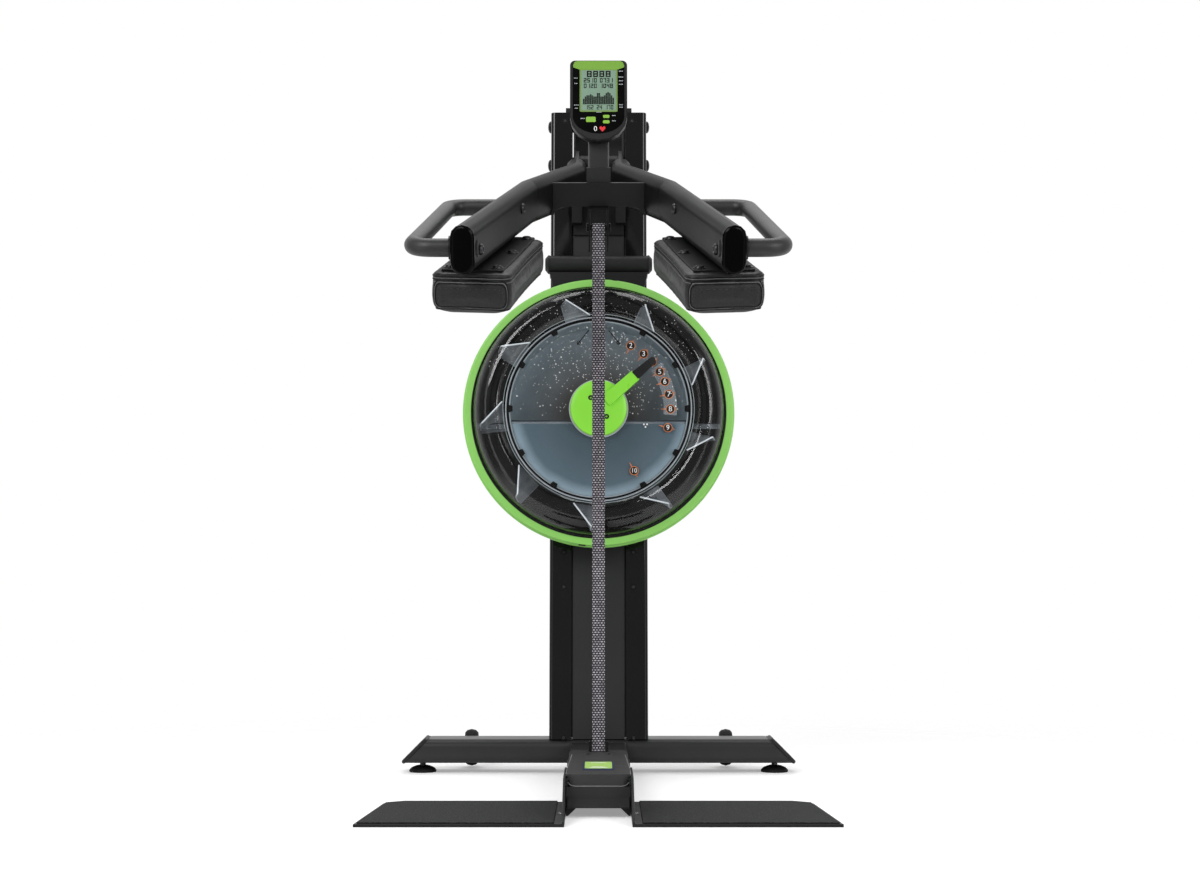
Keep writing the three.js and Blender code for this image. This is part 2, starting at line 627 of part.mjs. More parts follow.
// Base beam with its slot for the strap, the pulley cover and the yoke in front.
function base() {
  const half = BEAM_WIDTH / 2;
  const top = CROSSBAR_BOTTOM + BEAM_HEIGHT;
  const rear = -CROSSBAR_DEPTH / 2 - GAP;
  const outer = block(-half, half, -BEAM_FRONT, rear, CROSSBAR_BOTTOM, top);
  const inner = block(
    BEAM_WALL - half, half - BEAM_WALL, -BEAM_FRONT - 1, rear + 1,
    CROSSBAR_BOTTOM + BEAM_WALL, top - BEAM_WALL,
  );
  const slotHalf = STRAP_WIDTH / 2 + PULLEY_FLANGE_THICKNESS + 3;
  const slot = block(
    -slotHalf, slotHalf, strapY - 6, basePulleyY + PULLEY_RADIUS + PULLEY_FLANGE + 3,
    top - BEAM_WALL - 1, top + 1,
  );
  const axleHole = rod("x", bore(PULLEY_AXLE_RADIUS), -half - 1, half + 1, basePulleyY, pulleyHeight);
  add(machine, "base_beam", outer.subtract(inner).subtract(slot).subtract(axleHole), "frame");

  const coverRear = strapY + COVER_REAR_MARGIN;
  const coverFront = -BEAM_FRONT - GAP - COVER_WALL - 2;
  const coverTop = top + COVER_HEIGHT;
  const coverPlan = (inset, bottom, roof) => {
    const edge = half - 0.5 - inset;
    const front = coverFront + inset;
    const corner = COVER_CORNER - inset;
    const outline = new THREE.Shape();
    outline.moveTo(edge - COVER_REAR_TAPER, coverRear - inset);
    outline.lineTo(COVER_REAR_TAPER - edge, coverRear - inset);
    outline.lineTo(-edge, coverRear - COVER_REAR_MARGIN);
    outline.lineTo(-edge, front + corner);
    outline.absarc(-edge + corner, front + corner, corner, Math.PI, 1.5 * Math.PI);
    outline.lineTo(edge - corner, front);
    outline.absarc(edge - corner, front + corner, corner, 1.5 * Math.PI, 2 * Math.PI);
    outline.lineTo(edge, coverRear - COVER_REAR_MARGIN);
    return prism("z", outline, bottom, roof);
  };
  const beamSpace = block(-half - 1, half + 1, -BEAM_FRONT - GAP, 0, 0, top + GAP);
  const mouth = block(
    -STRAP_WIDTH / 2 - MOUTH_MARGIN, STRAP_WIDTH / 2 + MOUTH_MARGIN,
    strapY - STRAP_THICKNESS / 2 - MOUTH_MARGIN, strapY + STRAP_THICKNESS / 2 + MOUTH_MARGIN,
    top, coverTop + 1,
  );
  const cover = coverPlan(0, coverTop - COVER_SKIRT, coverTop)
    .subtract(coverPlan(COVER_WALL, 0, coverTop - COVER_WALL).subtract(
      block(-half, half, coverFront, -BEAM_FRONT + 6, 0, top - 1),
    ))
    .subtract(beamSpace)
    .subtract(mouth);
  add(machine, "pulley_cover", cover, "plastic");

  const yokeFront = -BEAM_FRONT - GAP - COVER_WALL - 2 - GAP - YOKE_THICKNESS;
  const yokeHalf = half - 0.3;
  const yokeTop = coverTop - COVER_SKIRT - GAP;
  const arch = prism("y", [
    [-yokeHalf, yokeTop], [-yokeHalf, 1], [-yokeHalf + 3, 1], [-YOKE_ARCH_HALF, YOKE_ARCH_HEIGHT],
    [YOKE_ARCH_HALF, YOKE_ARCH_HEIGHT], [yokeHalf - 3, 1], [yokeHalf, 1], [yokeHalf, yokeTop],
  ], yokeFront, -BEAM_FRONT - GAP);
  const sill = prism("x", [
    [yokeFront + 1, YOKE_SILL_HEIGHT], [yokeFront + 1, YOKE_ARCH_HEIGHT],
    [yokeFront - YOKE_SILL_REACH, YOKE_ARCH_HEIGHT], [yokeFront - YOKE_SILL_REACH, YOKE_ARCH_HEIGHT + 3],
  ], -yokeHalf + 2, yokeHalf - 2);
  add(machine, "front_yoke", union([arch, sill]), "frame");

  const plateInner = half + GAP;
  const plan = (inset, innerEdge) => [
    [innerEdge, -FOOTPLATE_FRONT + inset], [FOOTPLATE_OUTER_FRONT - inset, -FOOTPLATE_FRONT + inset],
    [FOOTPLATE_OUTER_REAR - inset, -FOOTPLATE_REAR - FOOTPLATE_CHAMFER_Y - inset / 2],
    [FOOTPLATE_OUTER_REAR - FOOTPLATE_CHAMFER_X - inset / 2, -FOOTPLATE_REAR - inset],
    [innerEdge, -FOOTPLATE_REAR - inset],
  ];
  const plate = prism("z", plan(0, plateInner), 0, FOOTPLATE_THICKNESS);
  const flange = prism("x", [
    [-FOOTPLATE_FRONT, 0], [-FOOTPLATE_REAR, 0], [-FOOTPLATE_REAR, FLANGE_HEIGHT - 20],
    [-FOOTPLATE_REAR - 20, FLANGE_HEIGHT], [-FLANGE_SLOPE_START, FLANGE_HEIGHT],
    [-FLANGE_SLOPE_START - 12, FLANGE_HEIGHT - 3], [-FOOTPLATE_FRONT, FOOTPLATE_THICKNESS + 3],
  ], plateInner, plateInner + FLANGE_THICKNESS);
  addPair(machine, "footplate", union([plate, flange]), "frame");
  const mat = prism(
    "z", plan(MAT_MARGIN, plateInner + MAT_INNER_STRIP), FOOTPLATE_THICKNESS + GAP,
    FOOTPLATE_THICKNESS + GAP + MAT_THICKNESS,
  );
  addPair(machine, "grip_mat", mat, "rubber");
}

// Column tube with an open head, its side panels, cheeks, axle and tie bolt.
function column() {
  const half = COLUMN_WIDTH / 2;
  const deep = COLUMN_DEPTH / 2;
  const underside = moved(
    block(-CUTTER, CUTTER, -CUTTER, CUTTER, -CUTTER, crossbarTop + GAP),
    new THREE.Matrix4().makeRotationX(COLUMN_LEAN),
  );
  const axleHole = rod("x", bore(PIVOT_AXLE_RADIUS, FINE), -half - 1, half + 1, 0, PIVOT_HEIGHT, FINE);
  const tieHole = rod("x", bore(TIE_RADIUS), -half - 1, half + 1, 0, PIVOT_HEIGHT + TIE_RISE);
  const shaftHole = rod(
    "y", bore(SHAFT_RADIUS + BEARING_WALL), columnFront - 1, columnFront + COLUMN_WALL + 1, 0, TANK_HEIGHT,
  );
  const wallInner = half - COLUMN_WALL;
  const tube = block(-half, half, -deep, deep, 0, COLUMN_HEIGHT)
    .subtract(block(-wallInner, wallInner, -deep + COLUMN_WALL, deep - COLUMN_WALL, -1, COLUMN_HEIGHT + 1))
    .subtract(block(-wallInner, wallInner, -deep - 1, 0, HEAD_BOTTOM, COLUMN_HEIGHT + 1))
    .subtract(underside)
    .subtract(axleHole)
    .subtract(tieHole)
    .subtract(shaftHole);
  add(columnGroup, "column_tube", tube, "frame");

  const panelTop = COLUMN_HEIGHT + PANEL_RISE;
  const panelInner = half + PANEL_SLIT;
  const panelFront = -deep - PANEL_PROUD;
  const shell = (inset, lip) => {
    const outline = new THREE.Shape();
    const outerX = PANEL_OUTER - inset;
    const corner = PANEL_CORNER - inset;
    const face = panelFront + inset;
    outline.moveTo(panelInner + lip, -face);
    outline.lineTo(panelInner + lip, face);
    outline.lineTo(outerX - corner, face);
    outline.absarc(outerX - corner, face + corner, corner, -Math.PI / 2, 0);
    outline.lineTo(outerX, -face - corner);
    outline.absarc(outerX - corner, -face - corner, corner, 0, Math.PI / 2);
    return outline;
  };
  const cheekInner = half + CHEEK_OFFSET;
  const cheekTop = COLUMN_HEIGHT + CHEEK_RISE;
  const cheekBlock = (grow) => block(
    cheekInner - grow, cheekInner + CHEEK_THICKNESS + grow, -CHEEK_DEPTH / 2 - grow, CHEEK_DEPTH / 2 + grow,
    PIVOT_HEIGHT - CHEEK_DROP, cheekTop + grow,
  );
  const boltHoles = (x0, x1) => union([
    rod("x", bore(PIVOT_AXLE_RADIUS, FINE), x0, x1, 0, PIVOT_HEIGHT, FINE),
    rod("x", bore(TIE_RADIUS), x0, x1, 0, PIVOT_HEIGHT + TIE_RISE),
  ]);
  const hollow = prism("z", shell(PANEL_WALL, PANEL_WALL), -1, panelTop - PANEL_WALL);
  const slot = block(
    panelInner - 1, panelInner + PANEL_WALL + 1, panelFront + PANEL_LIP, -panelFront - PANEL_LIP, -1,
    panelTop - PANEL_WALL,
  );
  const panel = prism("z", shell(0, 0), 0, panelTop)
    .subtract(hollow)
    .subtract(slot)
    .subtract(cheekBlock(GAP))
    .subtract(underside)
    .subtract(boltHoles(panelInner - 5, PANEL_OUTER + 1));
  addPair(columnGroup, "side_panel", panel, "gloss");

  const bosses = union([
    rod("x", PIVOT_AXLE_RADIUS + PIVOT_BOSS_WALL, half + GAP, cheekInner + 1, 0, PIVOT_HEIGHT, 24),
    rod("x", TIE_RADIUS + TIE_BOSS_WALL, half + GAP, cheekInner + 1, 0, PIVOT_HEIGHT + TIE_RISE, 24),
  ]);
  const cheek = union([cheekBlock(0), bosses]).subtract(boltHoles(half, cheekInner + CHEEK_THICKNESS + 1));
  addPair(columnGroup, "pivot_cheek", cheek, "frame");

  const nut = (radius, height) => {
    const profile = [[0, 0], [radius, 0], [radius, 2]];
    profile.push(...quarter(radius, 2, 0, height, 4, false).map(([r, h]) => [r, h]), [0, height]);
    return revolve("x", profile, 18);
  };
  const bolt = (radius, z, sides) => {
    const end = PANEL_OUTER + GAP;
    const head = moved(nut(NUT_RADIUS, NUT_HEIGHT), shift(end, 0, z));
    return union([rod("x", radius, -end - 1, end + 1, 0, z, sides), head, mirrored(head)]);
  };
  add(columnGroup, "pivot_axle", bolt(PIVOT_AXLE_RADIUS, PIVOT_HEIGHT, FINE), "steel");
  add(columnGroup, "top_tie_bolt", bolt(TIE_RADIUS, PIVOT_HEIGHT + TIE_RISE, 16), "steel");

  const slope = LEVER_DROOP + COLUMN_LEAN;
  const above = moved(
    block(-CUTTER, CUTTER, -CUTTER, CUTTER, -YOKE_HUB_RADIUS - GAP, CUTTER),
    shift(0, 0, PIVOT_HEIGHT).multiply(new THREE.Matrix4().makeRotationX(slope)),
  );
  const stopBack = columnFront - GAP;
  const back = block(
    -half, half, stopBack - STOP_PLATE_THICKNESS, stopBack, HEAD_BOTTOM - STOP_PLATE_HEIGHT, HEAD_BOTTOM,
  );
  const bumpers = [-1, 1].map((side) => block(
    side * ARM_ROOT_X - STOP_HALF_WIDTH, side * ARM_ROOT_X + STOP_HALF_WIDTH,
    stopBack - STOP_REACH, stopBack, HEAD_BOTTOM - STOP_DROP, PIVOT_HEIGHT,
  ));
  add(columnGroup, "lever_stop", union([back, ...bumpers]).subtract(above), "rubber");
}

// Rest bar on its shelf above the tank.
function restBar() {
  const barY = columnFront - REST_BAR_REACH;
  const end = REST_BAR_HALF - REST_CAP_LENGTH;
  const r = REST_BAR_RADIUS;
  const bar = revolve("x", [
    [0, -REST_BAR_HALF], [r - 6, -REST_BAR_HALF], [r + 1, -REST_BAR_HALF + 6], [r + 1, -end], [r, -end],
    [r, end], [r + 1, end], [r + 1, REST_BAR_HALF - 6], [r - 6, REST_BAR_HALF], [0, REST_BAR_HALF],
  ], 28);
  const placed = moved(bar, shift(0, barY, REST_BAR_HEIGHT));
  add(columnGroup, "rest_bar", placed, "plastic");
  const shelfTop = REST_BAR_HEIGHT - r - 1 - GAP;
  const front = barY - r;
  const shelf = block(-end, end, front, columnFront - PANEL_PROUD - GAP, shelfTop - REST_SHELF, shelfTop);
  const lip = prism("y", [
    [-end, shelfTop], [REST_LIP_TAPER - end, shelfTop - REST_LIP],
    [end - REST_LIP_TAPER, shelfTop - REST_LIP], [end, shelfTop],
  ], front, front + REST_SHELF);
  const back = block(
    -COLUMN_WIDTH / 2, COLUMN_WIDTH / 2, columnFront - GAP - REST_SHELF, columnFront - GAP,
    shelfTop - 2 * REST_LIP, shelfTop,
  );
  add(columnGroup, "rest_bar_bracket", union([shelf, lip, back]), "frame");
}

// Water tank: two clear shells in a green rim, the storage chamber, water, bearings and bracket.
function tank() {
  const centre = shift(0, 0, TANK_HEIGHT);
  const back = columnFront - 2 * GAP - BRACKET_THICKNESS;
  const hubHole = bore(SHAFT_RADIUS + BEARING_WALL, LATHE_STEPS);
  const wall = TANK_WALL;
  const R = TANK_RADIUS;
  const flangeR = R + TANK_FLANGE;
  const place = (shape) => moved(shape, centre);

  const shaftHole = bore(SHAFT_RADIUS, FINE);
  const sleeveR = SHAFT_RADIUS + BEARING_WALL;
  const plateFront = columnFront - GAP - BRACKET_THICKNESS;
  const bracket = revolve("y", [
    [shaftHole, columnFront - GAP], [BRACKET_RADIUS, columnFront - GAP], [BRACKET_RADIUS, plateFront],
    [sleeveR, plateFront], [sleeveR, plateFront - BEARING_WIDTH], [shaftHole, plateFront - BEARING_WIDTH],
  ], FINE);
  const strip = block(-COLUMN_WIDTH / 2, COLUMN_WIDTH / 2, -TANK_RADIUS, 0, -TANK_RADIUS, TANK_RADIUS);
  add(columnGroup, "tank_bracket", place(bracket.intersect(strip)), "frame");

  const rearFace = jointPlane + GAP / 2;
  const rearTurn = jointPlane + 20;
  const rear = revolve("y", [
    [hubHole, back], [TANK_BACK_FLAT, back], ...quarter(TANK_BACK_FLAT, back, R, rearTurn, 3),
    [R, rearTurn], [R, rearFace + TANK_FLANGE_THICKNESS], [flangeR, rearFace + TANK_FLANGE_THICKNESS],
    [flangeR, rearFace], [R - wall, rearFace], [R - wall, rearTurn],
    ...quarter(R - wall, rearTurn, TANK_BACK_FLAT, back - wall, 3, false),
    [TANK_BACK_FLAT, back - wall], [hubHole, back - wall],
  ]);
  add(columnGroup, "tank_rear_shell", place(rear), "plastic");

  const frontFace = jointPlane - GAP / 2;
  const frontTurn = jointPlane - 15;
  const crest = jointPlane - TANK_BULGE;
  const spindleHole = bore(SELECTOR_SPINDLE, LATHE_STEPS);
  const front = revolve("y", [
    [R - wall, frontFace], [flangeR, frontFace], [flangeR, frontFace - TANK_FLANGE_THICKNESS],
    [R, frontFace - TANK_FLANGE_THICKNESS], [R, frontTurn],
    ...quarter(R, frontTurn, TANK_CREST, crest, 4, false), [TANK_CREST, crest],
    ...quarter(TANK_CREST, crest, TANK_SEAM, windowPlane, 3), [TANK_SEAM, windowPlane],
    [spindleHole, windowPlane], [spindleHole, windowPlane + wall], [TANK_SEAM + 2, windowPlane + wall],
    ...quarter(TANK_SEAM + 2, windowPlane + wall, TANK_CREST, crest + wall, 3, false),
    [TANK_CREST, crest + wall],
    ...quarter(TANK_CREST, crest + wall, R - wall, frontTurn, 4), [R - wall, frontTurn],
  ]);
  add(columnGroup, "tank_front_shell", place(front), "clear");

  const lipBack = rearFace + TANK_FLANGE_THICKNESS + GAP;
  const lipFront = frontFace - TANK_FLANGE_THICKNESS - GAP;
  const seat = flangeR + GAP;
  const rimR = seat + RIM_THICKNESS;
  const rimRear = rimR + RIM_REAR_STEP;
  const backFace = lipBack + RIM_THICKNESS;
  const frontEdge = lipFront - RIM_THICKNESS;
  const rim = revolve("y", [
    [flangeR - RIM_FRONT_LIP, lipFront], [seat, lipFront], [seat, lipBack], [R + 2, lipBack],
    [R + 2, backFace], [rimRear - RIM_CHAMFER, backFace], [rimRear, backFace - RIM_CHAMFER],
    [rimRear, jointPlane + 1], [rimR, jointPlane], [rimR, frontEdge + RIM_CHAMFER],
    [rimR - RIM_CHAMFER, frontEdge], [flangeR - RIM_FRONT_LIP + RIM_CHAMFER, frontEdge],
    [flangeR - RIM_FRONT_LIP, frontEdge + RIM_CHAMFER],
  ]);
  add(columnGroup, "tank_rim", place(rim), "green");

  const chamberFront = windowPlane + wall + GAP;
  const chamberBack = chamberFront + CHAMBER_DEPTH;
  const chamberInner = CHAMBER_RADIUS - CHAMBER_WALL;
  const chamberFloor = chamberBack - CHAMBER_WALL;
  const chamber = revolve("y", [
    [0, chamberFloor], [chamberInner, chamberFloor], [chamberInner, chamberFront],
    [CHAMBER_RADIUS, chamberFront], [CHAMBER_RADIUS, chamberBack], [0, chamberBack],
  ]);
  add(columnGroup, "storage_chamber", place(chamber), "clear");

  const fill = rod(
    "y", chamberInner - 2 * GAP, chamberFront + GAP, chamberFloor - GAP, 0, TANK_HEIGHT, LATHE_STEPS,
  );
  const level = shift(0, (chamberFront + chamberBack) / 2, TANK_HEIGHT - WATER_DROP)
    .multiply(new THREE.Matrix4().makeRotationX(COLUMN_LEAN));
  const below = moved(block(-CUTTER, CUTTER, -CUTTER, CUTTER, -CUTTER, 0), level);
  add(columnGroup, "tank_water", fill.intersect(below), "water");
}

// Impeller: a disc and hub on the shaft with cupped blades round the rim.
function impeller() {
  const centre = shift(0, 0, TANK_HEIGHT);
  const plane = columnFront - IMPELLER_PLANE;
  const shaftBack = STRAP_WIDTH / 2 + SPOOL_FLANGE_THICKNESS;
  const shaft = rod("y", SHAFT_RADIUS, columnFront - SHAFT_FRONT, shaftBack, 0, 0, FINE);
  const disc = revolve("y", [
    [0, plane + 14], [IMPELLER_HUB_RADIUS, plane + 14], [IMPELLER_HUB_RADIUS + 8, plane],
    [IMPELLER_DISC_RADIUS, plane], [IMPELLER_DISC_RADIUS, plane - IMPELLER_DISC],
    [IMPELLER_HUB_RADIUS, plane - IMPELLER_DISC], [IMPELLER_HUB_RADIUS, plane - IMPELLER_DISC - 6],
    [0, plane - IMPELLER_DISC - 6],
  ], 28);
  const bladeRoot = CHAMBER_RADIUS + 4;
  const steps = 4;
  const blade = loft(Array.from({ length: steps + 1 }, (_, i) => {
    const along = i / steps;
    const y = plane - BLADE_DEPTH * along;
    const cup = BLADE_CUP * Math.sin(Math.PI * along * 0.6);
    const tip = BLADE_TIP - BLADE_TIP_DROP * (1 - 2 * along) ** 2;
    const half = BLADE_THICKNESS / 2;
    return [
      [bladeRoot, cup - half], [tip, BLADE_RAKE * cup - half],
      [tip, BLADE_RAKE * cup + half], [bladeRoot, cup + half],
    ].map(([r, t]) => new THREE.Vector3(r, y, t));
  }));
  const blades = Array.from({ length: BLADE_COUNT }, (_, i) => moved(
    blade, new THREE.Matrix4().makeRotationY(-BLADE_PHASE - (2 * Math.PI * i) / BLADE_COUNT),
  ));
  add(columnGroup, "impeller", moved(union([shaft, disc, ...blades]), centre), "clear");
}

// Resistance selector: a green hub with a lever and grip, on a spindle through the window.
function selector() {
  const face = windowPlane - GAP;
  const r = SELECTOR_RADIUS;
  const hub = revolve("y", [
    [0, face], [r, face], [r, face - SELECTOR_THICKNESS + 4], [r - 4, face - SELECTOR_THICKNESS],
    [r - 10, face - SELECTOR_THICKNESS - 1.5], [0, face - SELECTOR_THICKNESS - 3],
  ], 36);
  const spindle = rod("y", SELECTOR_SPINDLE, face - 1, windowPlane + TANK_WALL + 2, 0, 0, LATHE_STEPS);
  const w = SELECTOR_ARM_WIDTH / 2;
  const gripStart = SELECTOR_LENGTH - SELECTOR_GRIP_LENGTH;
  const armShape = new THREE.Shape();
  armShape.moveTo(20, -w);
  armShape.lineTo(gripStart, -w * 0.9);
  armShape.lineTo(gripStart, w * 0.9);
  armShape.lineTo(20, w);
  const armBack = face - SELECTOR_THICKNESS + 2;
  const arm = prism("y", armShape, armBack - SELECTOR_ARM_THICKNESS, armBack);
  const gripShape = new THREE.Shape();
  gripShape.moveTo(gripStart - 2, -w);
  gripShape.lineTo(SELECTOR_LENGTH - 8, -w * 0.62);
  gripShape.quadraticCurveTo(SELECTOR_LENGTH, 0, SELECTOR_LENGTH - 8, w * 0.62);
  gripShape.lineTo(gripStart - 2, w);
  const grip = prism("y", gripShape, armBack - SELECTOR_ARM_THICKNESS - 1.5, armBack + 1.5);
  const turned = shift(0, 0, TANK_HEIGHT)
    .multiply(new THREE.Matrix4().makeRotationY(-SELECTOR_ANGLE));
  add(columnGroup, "resistance_selector", moved(union([hub, spindle, arm, grip]), turned), "green");
}

// Strap from the pin on the lever, round both pulleys and up the column to the spool.
function drive() {
  const strapHalf = STRAP_WIDTH / 2;
  const pinLine = PIN_RADIUS + GAP + STRAP_THICKNESS / 2;
  const pin = pinPoint;
  const at = (y, z) => new THREE.Vector3(0, y, z);
  const path = [
    at(strapY + STRAP_PITCH, pin.z - 62), at(strapY + STRAP_PITCH, pin.z - 30),
    at(pin.y + pinLine - 4, pin.z - 12), at(pin.y + pinLine, pin.z),
  ];
  for (let i = 1; i <= 8; i += 1) {
    const angle = (Math.PI * i) / 8;
    path.push(at(pin.y + pinLine * Math.cos(angle), pin.z + pinLine * Math.sin(angle)));
  }
  path.push(at(strapY, pin.z - 200));
  const base = at(basePulleyY, pulleyHeight);
  for (let i = 0; i <= 6; i += 1) {
    const angle = Math.PI + (Math.PI / 2) * (i / 6);
    path.push(at(base.y + pulleyLine * Math.cos(angle), base.z + pulleyLine * Math.sin(angle)));
  }
  const foot = at(footPulleyY, pulleyHeight);
  for (let i = 0; i <= 6; i += 1) {
    const angle = 1.5 * Math.PI + (Math.PI / 2 - COLUMN_LEAN) * (i / 6);
    path.push(at(foot.y + pulleyLine * Math.cos(angle), foot.z + pulleyLine * Math.sin(angle)));
  }
  const across = new THREE.Vector3(1, 0, 0);
  const width = path.map(() => across);
  const footTop = path.at(-1).clone();
  const outerLine = SPOOL_CORE + GAP + STRAP_THICKNESS / 2 + 0.5 + STRAP_PITCH * STRAP_TURNS;
  const spoolStart = columnToMachine(outerLine, 0, TANK_HEIGHT);
  const shaftWay = columnToMachine(0, 1, 0).sub(columnToMachine(0, 0, 0));
  const runSteps = 14;
  for (let i = 1; i < runSteps; i += 1) {
    const along = i / runSteps;
    const ease = along * along * (3 - 2 * along);
    const point = footTop.clone().lerp(spoolStart, along);
    point.x = outerLine * ease;
    path.push(point);
    const turn = (Math.PI / 2) * ease;
    width.push(across.clone().multiplyScalar(Math.cos(turn)).addScaledVector(shaftWay, Math.sin(turn)));
  }
  const turnSteps = Math.round(16 * STRAP_TURNS);
  for (let i = 0; i <= turnSteps; i += 1) {
    const angle = 2 * Math.PI * STRAP_TURNS * (i / turnSteps);
    const radius = outerLine - STRAP_PITCH * (angle / (2 * Math.PI));
    path.push(columnToMachine(radius * Math.cos(angle), 0, TANK_HEIGHT + radius * Math.sin(angle)));
    width.push(shaftWay);
  }
  const t = STRAP_THICKNESS / 2;
  const ribbon = [[-t, -strapHalf], [t, -strapHalf], [t, strapHalf], [-t, strapHalf]];
  add(machine, "drive_strap", sweep(path, ribbon, width), "webbing");

  const flangeR = PULLEY_RADIUS + PULLEY_FLANGE;
  const side = strapHalf + 1;
  const end = side + PULLEY_FLANGE_THICKNESS;
  const hole = bore(PULLEY_AXLE_RADIUS, FINE);
  const pulley = revolve("x", [
    [hole, -end], [flangeR, -end], [flangeR, -side - 0.8], [PULLEY_RADIUS, -side], [PULLEY_RADIUS, side],
    [flangeR, side + 0.8], [flangeR, end], [hole, end],
  ], FINE);
  const at3 = (y) => shift(0, y, pulleyHeight);
  add(machine, "base_pulley", moved(pulley, at3(basePulleyY)), "plastic");
  add(machine, "foot_pulley", moved(pulley, at3(footPulleyY)), "plastic");

  const beamHalf = BEAM_WIDTH / 2 + GAP;
  const headEnd = beamHalf + PULLEY_AXLE_HEAD;
  const headRadius = PULLEY_AXLE_RADIUS + 3.5;
  const axle = union([
    rod("x", PULLEY_AXLE_RADIUS, -beamHalf - 1, beamHalf + 1, basePulleyY, pulleyHeight),
    rod("x", headRadius, beamHalf, headEnd, basePulleyY, pulleyHeight, 6),
    rod("x", headRadius, -headEnd, -beamHalf, basePulleyY, pulleyHeight, 6),
  ]);
  add(machine, "base_pulley_axle", axle, "steel");
  const hangerTop = crossbarTop - CROSSBAR_WALL - GAP;
  const hanger = (x) => block(x, x + 4, footPulleyY - 11, footPulleyY + 11, pulleyHeight - 9, hangerTop);
  const footAxle = union([
    hanger(end + 0.7), hanger(-end - 4.7),
    rod("x", PULLEY_AXLE_RADIUS, -end - 6, end + 6, footPulleyY, pulleyHeight, 16),
  ]);
  add(machine, "foot_pulley_axle", footAxle, "steel");

  const shaftHole = bore(SHAFT_RADIUS, FINE);
  const sheave = strapHalf + SPOOL_FLANGE_THICKNESS;
  const spool = revolve("y", [
    [shaftHole, -sheave - 1], [SPOOL_FLANGE_RADIUS, -sheave - 1], [SPOOL_FLANGE_RADIUS, -strapHalf - 1],
    [SPOOL_CORE, -strapHalf - 1], [SPOOL_CORE, strapHalf + 1], [SPOOL_FLANGE_RADIUS, strapHalf + 1],
    [SPOOL_FLANGE_RADIUS, sheave + 1], [shaftHole, sheave + 1],
  ], FINE);
  const caseBack = COLUMN_DEPTH / 2 - COLUMN_WALL - GAP;
  const caseFront = sheave + 1 + SPRING_CASE_GAP;
  const arbor = ring("y", shaftHole - 4, SPRING_ARBOR + 4, sheave, caseFront + 2, 24);
  const centre = shift(0, 0, TANK_HEIGHT);
  add(columnGroup, "strap_spool", moved(union([spool, arbor]), centre), "plastic");
  const pocket = bore(SPRING_ARBOR + 4, FINE);
  const springCase = revolve("y", [
    [0, caseBack], [SPRING_CASE_RADIUS, caseBack], [SPRING_CASE_RADIUS, caseFront + 3],
    [SPRING_CASE_RADIUS - 3, caseFront], [pocket, caseFront], [pocket, caseFront + 4], [0, caseFront + 4],
  ], FINE);
  add(columnGroup, "recoil_spring_case", moved(springCase, centre), "plastic");
}

// Centre line of the right arm in the lever's plane.
function armPath(fromRoot, past) {
  const corners = [
    [ARM_ROOT_X, -ARM_ROOT_Y - fromRoot], [ARM_ROOT_X, -ARM_FIRST_BEND_Y],
    [ARM_SECOND_BEND_X, -ARM_SECOND_BEND_Y], [ARM_END_X, -ARM_END_Y],
  ].map(([x, y]) => new THREE.Vector3(x, y, 0));
  const last = corners[3].clone().sub(corners[2]).normalize();
  corners[3].addScaledVector(last, past);
  return rounded(corners, ARM_BEND_RADIUS, 3);
}

function armSolid(grow, fromRoot = 0, past = 0) {
  const radius = ARM_WIDTH / 2 + grow;
  const section = roundRect(radius, ARM_HEIGHT / 2 + grow, radius - 0.01, 3);
  return sweep(armPath(fromRoot, past), section, new THREE.Vector3(0, 0, 1));
}

// What a domed rear end leaves of an arm.
function armDome() {
  const radius = ARM_HEIGHT / 2;
  const outline = [[-ARM_END_Y - radius, -radius], [-ARM_ROOT_Y - ARM_ROOT_DOME, -radius]];
  for (let i = -3; i <= 3; i += 1) {
    const angle = (Math.PI * i) / 8;
    outline.push([-ARM_ROOT_Y - ARM_ROOT_DOME * (1 - Math.cos(angle)), radius * Math.sin(angle)]);
  }
  outline.push([-ARM_ROOT_Y - ARM_ROOT_DOME, radius], [-ARM_END_Y - radius, radius]);
  return prism("x", outline, 0, 2 * ARM_END_X);
}

